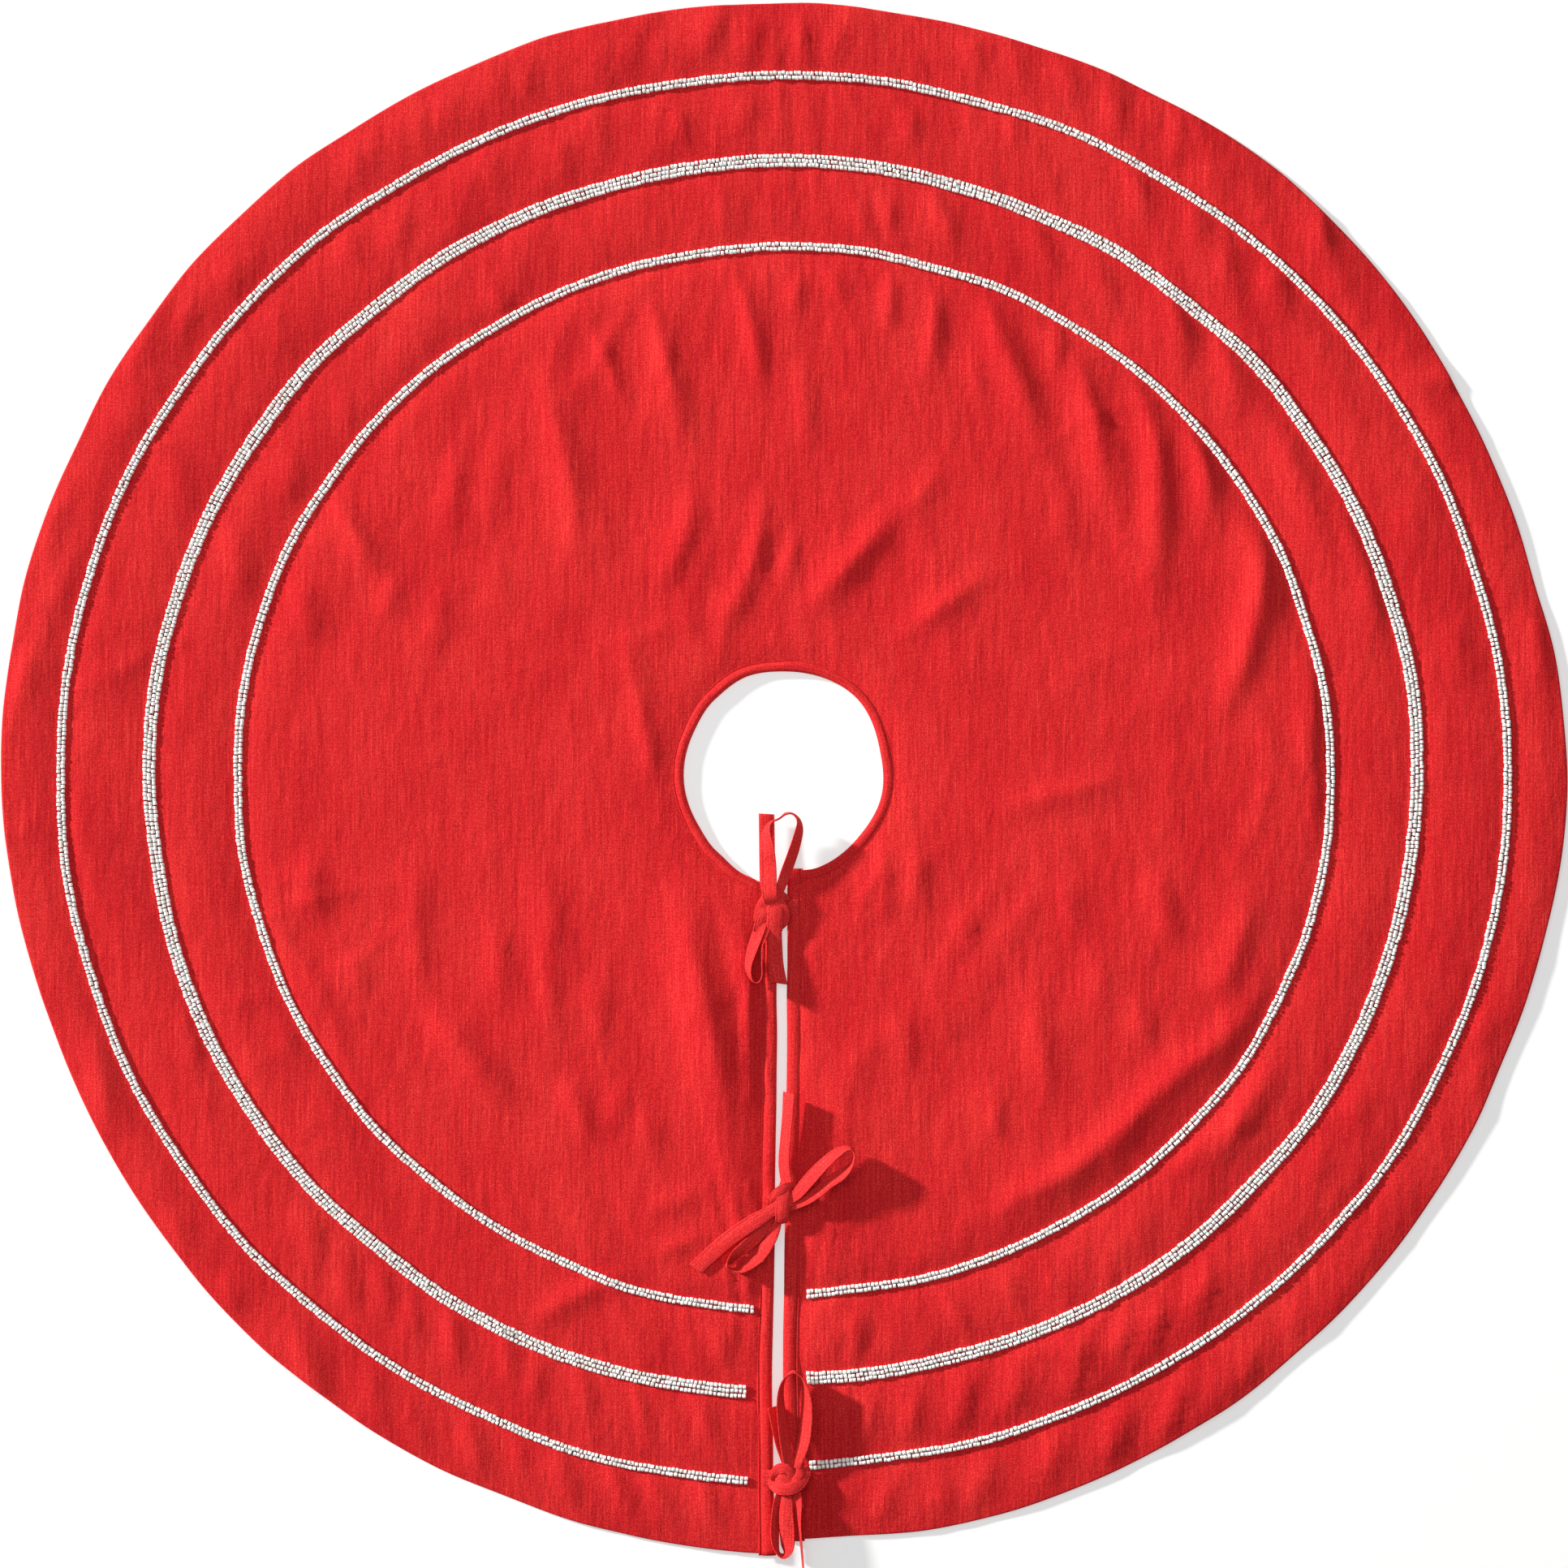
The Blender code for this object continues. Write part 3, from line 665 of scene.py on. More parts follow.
def glass_bead_white():
    """Opaque white lustre glass. Each bead has its own faint tint."""
    material, tree, shader = surface("glass_bead_white", Specular_IOR_Level=0.6, Coat_Roughness=0.08)
    tint = add_node(tree, "ShaderNodeAttribute", {"attribute_name": "tint"}, output="Fac")
    place = add_node(tree, "ShaderNodeTexCoord", output="Object")
    cloud = noise(tree, place, (420.0, 420.0, 420.0), detail=2.0)
    stops = tree.nodes.new("ShaderNodeValToRGB")
    ramp = stops.color_ramp
    colours = (
        (0.0, (0.70, 0.68, 0.62)), (0.14, (0.88, 0.86, 0.80)), (0.34, (0.94, 0.93, 0.90)),
        (0.52, (0.86, 0.93, 0.87)), (0.68, (0.95, 0.94, 0.92)), (0.84, (0.95, 0.85, 0.85)),
        (1.0, (0.96, 0.955, 0.94)),
    )
    ramp.elements[0].position, ramp.elements[1].position = colours[0][0], colours[-1][0]
    ramp.elements[0].color, ramp.elements[1].color = (*colours[0][1], 1), (*colours[-1][1], 1)
    for position, colour in colours[1:-1]:
        ramp.elements.new(position).color = (*colour, 1)
    tree.links.new(tint.socket, stops.inputs[0])
    body = mixed(tree, 0.25 * cloud, Signal(tree, stops.outputs[0]), (0.72, 0.72, 0.70))
    feed(
        tree, shader, Base_Color=body, Roughness=0.22 + 0.25 * cloud, Coat_Weight=0.5 + 0.3 * cloud,
        Normal=bumped(tree, cloud, 0.08 * MM, 0.3),
    )
    return material


def sewing_thread(name, deep, bright):
    """Twisted thread: fine slanting plies along the piece's own length."""
    material, tree, shader = surface(name, Specular_IOR_Level=0.35)
    place = add_node(tree, "ShaderNodeTexCoord", output="Object")
    x, y, z = split(tree, place)
    fuzz = noise(tree, place, (2600.0, 2600.0, 2600.0), detail=2.0)
    ply = waves(tree, x + y + z, 2600)
    tone = 0.6 * ply + 0.4 * fuzz
    feed(
        tree, shader, Base_Color=mixed(tree, tone, deep, bright), Roughness=0.5 + 0.3 * fuzz,
        Normal=bumped(tree, tone, 0.1 * MM, 0.5),
    )
    return material


def floor_paper():
    """The studio's white paper, which glows a little so that it stays pale in the shade."""
    material, tree, shader = surface("floor_paper", Specular_IOR_Level=0.1)
    place = add_node(tree, "ShaderNodeTexCoord", output="Object")
    speck = noise(tree, place, (60.0, 60.0, 60.0), detail=3.0)
    tone = mixed(tree, speck, (0.56, 0.56, 0.557), (0.58, 0.58, 0.577))
    feed(tree, shader, Base_Color=tone, Roughness=0.85 + 0.1 * speck)
    shader.inputs["Emission Color"].default_value = (1.0, 1.0, 1.0, 1.0)
    shader.inputs["Emission Strength"].default_value = 0.42
    return material


COVER_LINEN = slubbed_linen(
    "cover_linen", (0.42, 0.003, 0.008), (0.61, 0.016, 0.020), (0.84, 0.05, 0.037),
)
LINING_COTTON = slubbed_linen(
    "lining_cotton", (0.33, 0.004, 0.010), (0.46, 0.009, 0.016), (0.58, 0.02, 0.025),
)
BINDING_LINEN = slubbed_linen(
    "binding_linen", (0.42, 0.004, 0.009), (0.62, 0.019, 0.022), (0.82, 0.048, 0.036), by_uv=True,
)
TIE_LINEN = slubbed_linen(
    "tie_linen", (0.46, 0.007, 0.012), (0.66, 0.026, 0.027), (0.84, 0.08, 0.065), by_uv=True,
)
BEAD_GLASS = glass_bead_white()
RED_THREAD = sewing_thread("red_sewing_thread", (0.30, 0.003, 0.008), (0.55, 0.012, 0.02))
# Near-black beading thread: a real thread, whose near-black also paints shade into the gaps between the
# beads.
BEAD_THREAD_AND_GAP_SHADE = sewing_thread("bead_thread_and_painted_gap_shade", (0.006, 0.006, 0.007), (0.05, 0.048, 0.045))
FLOOR_PAPER = floor_paper()


# ---------------------------------------------------------------- cover and lining


def field_row(place, columns, inset):
    """One row of the cloth round the skirt, at a place from 0 at the neck to 4 at the hem."""
    field = min(int(place), 3)
    share = place - field

    def radius_at(theta):
        edges = edges_round(theta)
        near, far = edges[field], edges[field + 1]
        if field == 0:
            near = near + TUCKED
        if field == 3:
            far = far - inset
        return near + (far - near) * share

    right, left = radius_at(np.array([0.01]))[0], radius_at(np.array([TURN - 0.01]))[0]
    first = math.asin((slit_edge(1, right) + TUCKED) / right)
    last = TURN + math.asin((slit_edge(-1, left) - TUCKED) / left)
    theta = first + (last - first) * np.arange(columns + 1) / columns
    radius = radius_at(theta)
    return theta, radius


def gathered_to_edges(rows):
    """Places of so many rows in one field, closer together near its two edges."""
    even = np.arange(rows) / rows
    return even - 0.35 * np.sin(TURN * even) / TURN


def cloth_places(counts):
    places = [field + share for field, rows in enumerate(counts) for share in gathered_to_edges(rows)]
    return places + [len(counts)]


def columns_at(place, most):
    """Columns of the grid, halved twice on the way in so that the quads stay near square."""
    steps = ((0.24, 4), (0.7, 2))
    return most // next((share for limit, share in steps if place < limit), 1)


def make_cover():
    """The cover: one slit disc that rolls over at the hem and turns in under the lining."""
    face, back = [], []
    edge_roll = 1.9 * MM
    for place in cloth_places((56, 12, 12, 9)):
        theta, radius = field_row(place, columns_at(place, 640), edge_roll)
        x, y = radius * np.sin(theta), -radius * np.cos(theta)
        z = cover_height(x, y)
        face.append(np.stack((x, y, z), 1))
        back.append(np.stack((x, y, z - CLOTH), 1))
    theta, radius = field_row(4, 640, edge_roll)
    top, low = face[-1][:, 2], stand_off(face[-1][:, 0], face[-1][:, 1])
    half, middle = (top - low) / 2, (top + low) / 2
    bends = (70, 45, 20, -5, -30, -55, -75)
    turned_in = ((0.0, -90), (HEM_TURN / 2, -90), (HEM_TURN, -90))
    for run_in, degrees in [(0.0, b) for b in bends] + list(turned_in):
        out, up = math.cos(math.radians(degrees)), math.sin(math.radians(degrees))
        for rows, thick in ((face, 0.0), (back, CLOTH)):
            reach = radius + edge_roll * out * (1 - thick / edge_roll) - run_in
            rows.append(
                np.stack((reach * np.sin(theta), -reach * np.cos(theta), middle + (half - thick) * up), 1)
            )
    points, faces = two_sided(face, back)
    cover = new_piece("cover_cloth", points, faces, COVER_LINEN)
    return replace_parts(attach(cover, "skirt"), "top_cover")


def make_lining():
    """The lining: a plain disc inside the hem that follows the cover's broad rise a little."""
    face, back = [], []
    for place in cloth_places((30, 7, 7, 6)):
        theta, radius = field_row(place, columns_at(place, 256), 3.2 * MM)
        x, y = radius * np.sin(theta), -radius * np.cos(theta)
        z = LINING_HIGH.z + stand_off(x, y) + 0.3 * billow(x, y)
        face.append(np.stack((x, y, z), 1))
        back.append(np.stack((x, y, z - CLOTH), 1))
    points, faces = two_sided(face, back)
    lining = new_piece("lining_cloth", points, faces, LINING_COTTON)
    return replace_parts(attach(lining, "skirt"), "lining")


# ---------------------------------------------------------------- bindings

# A binding's section from its fold inwards, as (share of its width, height in mm): a soft tape
# folded over the edge, with a dip where the stitching pulls it down.
BINDING_SECTION = (
    (1.0, 0.0), (0.10, 0.0), (0.03, 0.5), (0.0, 1.8), (0.02, 3.3), (0.09, 4.6), (0.22, 5.3),
    (0.40, 5.6), (0.58, 5.5), (0.73, 5.1), (0.81, 4.5), (0.845, 3.8), (0.875, 3.7), (0.90, 4.1),
    (0.93, 4.55), (0.965, 4.6), (0.99, 4.25), (1.0, 3.75), (0.97, 3.35), (0.55, 3.3), (0.14, 3.25),
    (0.075, 2.5), (0.075, 1.4), (0.14, 0.8), (0.55, 0.8), (1.0, 0.8),
)
STITCH_LINE = (0.86, 3.85)
STITCH_SPACING = 3.0 * MM
STITCH_RADIUS = 0.26 * MM
SLOT_MIDDLE = 2.05
NECK_STEPS, SLIT_STEPS = 190, 150


def neck_way(count):
    """Points on the neck binding's fold, their outward directions, and the width there."""
    right, left = neck_radius(np.array([0.05]))[0], neck_radius(np.array([TURN - 0.05]))[0]
    first = math.asin((slit_edge(1, right) + 2.5 * MM) / right)
    last = TURN + math.asin((slit_edge(-1, left) - 2.5 * MM) / left)
    theta = first + (last - first) * np.arange(count + 1) / count
    radius = neck_radius(theta)
    fold = np.stack((radius * np.sin(theta), -radius * np.cos(theta)), 1)
    run = np.gradient(fold, axis=0)
    out = np.stack((run[:, 1], -run[:, 0]), 1)
    out /= np.linalg.norm(out, axis=1)[:, None]
    width = (0.78 + 0.05 * drift(theta * 3, theta * 0, 41)) * BINDING_WIDTH
    return fold, out, width


def slit_way(side, count):
    """The same for a slit binding, side -1 left or 1 right, from the neck down to the hem."""
    theta = np.array([TURN - 0.11 if side < 0 else 0.11])
    start = neck_radius(theta)[0] * 0.995 - 1.9 * MM
    stop = hem_radius(np.array([TURN - 0.012 if side < 0 else 0.012]))[0] + 0.8 * MM
    distance = start + (stop - start) * np.arange(count + 1) / count
    x = slit_edge(side, distance) + 0.25 * MM * drift(distance / 0.03, distance * 0, 50 + side)
    fold = np.stack((x, -distance), 1)
    out = np.tile((float(side), 0.0), (count + 1, 1))
    share = 0.98 if side < 0 else 1.05
    share = share + 0.2 * rising((distance - 0.54) / 0.08)
    width = (share + 0.05 * drift(distance / 0.06, distance * 0, 60 + side)) * BINDING_WIDTH
    return fold, out, width


def binding_body(name, way, node, tuck=0.0):
    """A folded tape along a way. With a tuck, its ends thin down to go inside the next tape."""
    fold, out, width = way
    lengths = np.concatenate(([0], np.cumsum(np.linalg.norm(np.diff(fold, axis=0), axis=1))))
    rings, uv = [], []
    plump = 1 + 0.05 * drift(lengths / 0.018, lengths * 0, 71)
    from_end = np.minimum(lengths, lengths[-1] - lengths)
    thin = 1 - 0.55 * (1 - rising((from_end - tuck) / 0.008)) if tuck else np.ones_like(lengths)
    for at, away, wide, along, puff, thinner in zip(fold, out, width, lengths, plump, thin):
        middle = at + away * wide / 2
        rise = stand_off(middle[:1], middle[1:])[0]
        ring = []
        for share, height in BINDING_SECTION:
            flat = at + away * wide * share
            lift = (SLOT_MIDDLE + (height * (puff if height > 3.6 else 1) - SLOT_MIDDLE) * thinner) * MM
            ring.append((*flat, lift + rise))
            uv.append((share * wide, along))
        rings.append(ring)
    points, faces = skinned(rings)
    binding = new_piece(name, points, faces, BINDING_LINEN, uv)
    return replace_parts(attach(binding, "skirt"), node)


def stitch_path(way):
    """The stitching's line in the binding's groove, stopped short of the binding's ends."""
    fold, out, width = way
    share, height = STITCH_LINE
    line = fold + out * (width * share)[:, None]
    return np.column_stack((line, stand_off(line[:, 0], line[:, 1]) + height * MM))[3:-3]


# ---------------------------------------------------------------- what is set along a line


def line_object(name, points):
    """A hidden open poly curve through the points."""
    curve = bpy.data.curves.new(name, "CURVE")
    curve.dimensions = "3D"
    spline = curve.splines.new("POLY")
    spline.points.add(len(points) - 1)
    spline.points.foreach_set("co", np.column_stack((points, np.ones(len(points)))).ravel())
    made = bpy.data.objects.new(name, curve)
    bpy.context.scene.collection.objects.link(made)
    return made


def make_laying_tree():
    """Geometry nodes that lay copies of one small piece along a line, each a little different."""
    tree = bpy.data.node_groups.new("laid_along_a_line", "GeometryNodeTree")
    sockets = (
        ("Line", "NodeSocketGeometry"), ("Piece", "NodeSocketObject"), ("Spacing", "NodeSocketFloat"),
        ("Stray", "NodeSocketFloat"), ("Tilt", "NodeSocketFloat"), ("Smallest", "NodeSocketFloat"),
        ("Largest", "NodeSocketFloat"), ("Seed", "NodeSocketInt"), ("Material", "NodeSocketMaterial"),
    )
    for name, kind in sockets:
        tree.interface.new_socket(name, in_out="INPUT", socket_type=kind)
    tree.interface.new_socket("Pieces", in_out="OUTPUT", socket_type="NodeSocketGeometry")
    given = tree.nodes.new("NodeGroupInput")
    value = {name: Signal(tree, given.outputs[name]) for name, _ in sockets}

    def any_vector(low, high, offset):
        spread = tree.nodes.new("FunctionNodeRandomValue")
        spread.data_type = "FLOAT_VECTOR"
        for key, bound in ((0, low), (1, high)):
            tree.links.new(bound.socket, spread.inputs[key])
        seed = add_node(tree, "ShaderNodeMath", {"operation": "ADD"}, {0: value["Seed"], 1: offset})
        tree.links.new(seed.socket, next(s for s in spread.inputs if s.name == "Seed"))
        return Signal(tree, spread.outputs[0])

    points = add_node(
        tree, "GeometryNodeCurveToPoints", {"mode": "LENGTH"},
        {"Curve": value["Line"], "Length": value["Spacing"]},
    )
    way = Signal(tree, points.socket.node.outputs["Tangent"])
    minus_stray, minus_tilt = value["Stray"] * -1.0, value["Tilt"] * -1.0
    moved = add_node(
        tree, "GeometryNodeSetPosition", {},
        {"Geometry": points, "Offset": any_vector(minus_stray, value["Stray"], 1.0)},
    )
    facing = add_node(tree, "FunctionNodeAlignRotationToVector", {"axis": "Z"}, {"Vector": way})
    loose = add_node(
        tree, "FunctionNodeEulerToRotation", {}, {0: any_vector(minus_tilt, value["Tilt"], 2.0)}
    )
    turned = add_node(
        tree, "FunctionNodeRotateRotation", {"rotation_space": "LOCAL"}, {0: facing, 1: loose}
    )
    piece = add_node(
        tree, "GeometryNodeObjectInfo", {}, {"Object": value["Piece"]}, output="Geometry"
    )
    copies = add_node(
        tree, "GeometryNodeInstanceOnPoints", {},
        {"Points": moved, "Instance": piece, "Rotation": turned,
         "Scale": any_vector(value["Smallest"], value["Largest"], 3.0)},
    )
    shade = tree.nodes.new("FunctionNodeRandomValue")
    shade.data_type = "FLOAT"
    tree.links.new(value["Seed"].socket, next(s for s in shade.inputs if s.name == "Seed"))
    shade_out = next(s for s in shade.outputs if s.enabled)
    marked = add_node(
        tree, "GeometryNodeStoreNamedAttribute", {"data_type": "FLOAT", "domain": "INSTANCE"},
        {"Geometry": copies, "Name": "tint", "Value": Signal(tree, shade_out)},
    )
    real = add_node(tree, "GeometryNodeRealizeInstances", {}, {"Geometry": marked})
    finished = add_node(
        tree, "GeometryNodeSetMaterial", {}, {"Geometry": real, "Material": value["Material"]}
    )
    out = tree.nodes.new("NodeGroupOutput")
    tree.links.new(finished.socket, out.inputs["Pieces"])
    return tree


LAYING_TREE = make_laying_tree()


def laid_along(name, path, piece, material, **sizes):
    """Copies of a small piece along a path of points, as one plain mesh object."""
    line = line_object(name + "_line", path)
    modifier = line.modifiers.new("laid", "NODES")
    modifier.node_group = LAYING_TREE
    values = {"Piece": piece, "Material": material, **sizes}
    for item in LAYING_TREE.interface.items_tree:
        if item.in_out == "INPUT" and item.name in values:
            modifier[item.identifier] = values[item.name]
    bpy.context.view_layer.update()
    graph = bpy.context.evaluated_depsgraph_get()
    mesh = bpy.data.meshes.new_from_object(line.evaluated_get(graph))
    line.modifiers.remove(modifier)
    bpy.data.objects.remove(line)
    mesh.name = name
    mesh.shade_smooth()
    made = bpy.data.objects.new(name, mesh)
    bpy.context.scene.collection.objects.link(made)
    return made


def turned_bead():
    """One bead: a short rounded tube on the Z axis with a small hole."""
    profile = (
        (0.16, 0.45), (0.38, 0.5), (0.47, 0.46), (0.5, 0.36),
        (0.5, -0.36), (0.47, -0.46), (0.38, -0.5), (0.16, -0.45),
    )
    sides = 8
    turns = [TURN * i / sides for i in range(sides)]
    points = [
        (share * BEAD_WIDTH * math.cos(t), share * BEAD_WIDTH * math.sin(t), z * BEAD_LENGTH)
        for share, z in profile
        for t in turns
    ]
    faces = []
    for k in range(len(profile)):
        m = (k + 1) % len(profile)
        for i in range(sides):
            j = (i + 1) % sides
            faces.append((k * sides + i, k * sides + j, m * sides + j, m * sides + i))
    return hidden(new_piece("bead_pattern", points, faces, BEAD_GLASS))


def one_stitch():
    """One stitch of sewing thread along Z: a small capsule that dives into the cloth at its ends."""
    sides, rings = 6, []
    half_length = 1.2 * MM
    turns = [TURN * i / sides for i in range(sides)]
    for along, share in ((-1.0, 0.25), (-0.8, 0.8), (-0.35, 1.0), (0.35, 1.0), (0.8, 0.8), (1.0, 0.25)):
        reach = STITCH_RADIUS * share
        rings.append([(reach * math.cos(t), reach * math.sin(t), half_length * along) for t in turns])
    points, faces = skinned(rings)
    return hidden(new_piece("stitch_pattern", points, faces, RED_THREAD))


def hidden(pattern):
    """A pattern piece that is only copied, never seen itself."""
    pattern.hide_render = True
    return pattern


# ---------------------------------------------------------------- bead bands

BEAD_STRAY = 0.36 * MM       # how far a bead sits off its row's line
BEAD_TILT = 0.17             # how far it leans, in radians
STRINGING_THREAD = 0.3 * MM
# Radius of a near-black cord under each bead row: painted shade in the gaps between the beads.
GAP_SHADE_CORD = 0.42 * MM
CROSSING_THREAD = 0.2 * MM

def row_path(band, row, count):
    """The line of one bead row from the right of the slit round to its left."""
    offset = (row - (BEAD_ROWS[band] - 1) / 2) * ROW_SPACING
    ends = {"inner": (20, -25), "middle": (20, -31), "outer": (22, -30)}[band]
    near = band_radius(band, np.array([0.02]))[0]
    theta = np.linspace(math.asin(ends[0] * MM / near), TURN + math.asin(ends[1] * MM / near), count)
    radius = band_radius(band, theta) + offset + 0.2 * MM * drift(theta * 60, theta * 0, 80 + row)
    x, y = radius * np.sin(theta), -radius * np.cos(theta)
    middle = band_radius(band, theta)
    seat = cover_height(middle * np.sin(theta), -middle * np.cos(theta))
    return np.stack((x, y, seat + BEAD_WIDTH / 2 + 0.1 * MM), 1)


def thread_tube(path, radius, sides=5):
    """A closed round thread along a path of points."""
    run = np.gradient(path, axis=0)
    run /= np.linalg.norm(run, axis=1)[:, None]
    side = np.cross(run, (0.0, 0.0, 1.0))
    side /= np.linalg.norm(side, axis=1)[:, None]
    up = np.cross(side, run)
    turns = [TURN * i / sides for i in range(sides)]
    ring = [radius * (side * math.cos(t) + up * math.sin(t)) for t in turns]
    rings = [[path[k] + r[k] for r in ring] for k in range(len(path))]
    return skinned(rings)


def joined(parts):
    """Several closed bodies' points and faces as one."""
    points, faces, start = [], [], 0
    for part_points, part_faces in parts:
        points.append(np.asarray(part_points, float))
        faces += [[i + start for i in face] for face in part_faces]
        start += len(points[-1])
    return np.vstack(points), faces


def couching_crossings(first, last):
    """Threads that cross the band from its first row to its last and dive into the cloth."""
    threads = []
    for inner, outer in zip(first[1:-1], last[1:-1]):
        over = (outer - inner) / np.linalg.norm(outer - inner)
        sunk = np.array((0, 0, BEAD_WIDTH * 0.35))
        past = over * BEAD_WIDTH * 0.55
        crossing = (
            inner - past - sunk * 1.3, inner - sunk * 0.2, outer - sunk * 0.2, outer + past - sunk * 1.3,
        )
        threads.append(thread_tube(np.array(crossing), CROSSING_THREAD, 4))
    return threads


def make_band(band, bead):
    """A band's rows of beads and the thread that strings and couches them. The thread is near-black and a
    cord of it runs under each row, so it also paints shade into the gaps between the beads.
    """
    made, threads = [], []
    rows = BEAD_ROWS[band]
    for row in range(rows):
        path = row_path(band, row, 1500)
        beads = laid_along(
            f"{band}_beads_{row + 1}", path, bead, BEAD_GLASS, Spacing=BEAD_SPACING * (1 + 0.017 * row),
            Stray=BEAD_STRAY, Tilt=BEAD_TILT, Smallest=0.86, Largest=1.05, Seed=10 * len(band) + row,
        )
        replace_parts(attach(beads, "skirt"), f"{band}_bead_row_{row + 1}")
        made.append(beads)
        threads.append(thread_tube(path[::2], STRINGING_THREAD))
        # A near-black cord under the row paints shade into the gaps between the beads.
        under = path[::3].copy()
        under[:, 2] -= BEAD_WIDTH / 2 - 0.25 * MM
        threads.append(thread_tube(under, GAP_SHADE_CORD, 4))
    threads += couching_crossings(row_path(band, 0, 400), row_path(band, rows - 1, 400))
    points, faces = joined(threads)
    thread = new_piece(f"{band}_band_thread_run", points, faces, BEAD_THREAD_AND_GAP_SHADE)
    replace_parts(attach(thread, "skirt"), f"{band}_band_thread")
    return made + [thread]


# ---------------------------------------------------------------- ties and bows

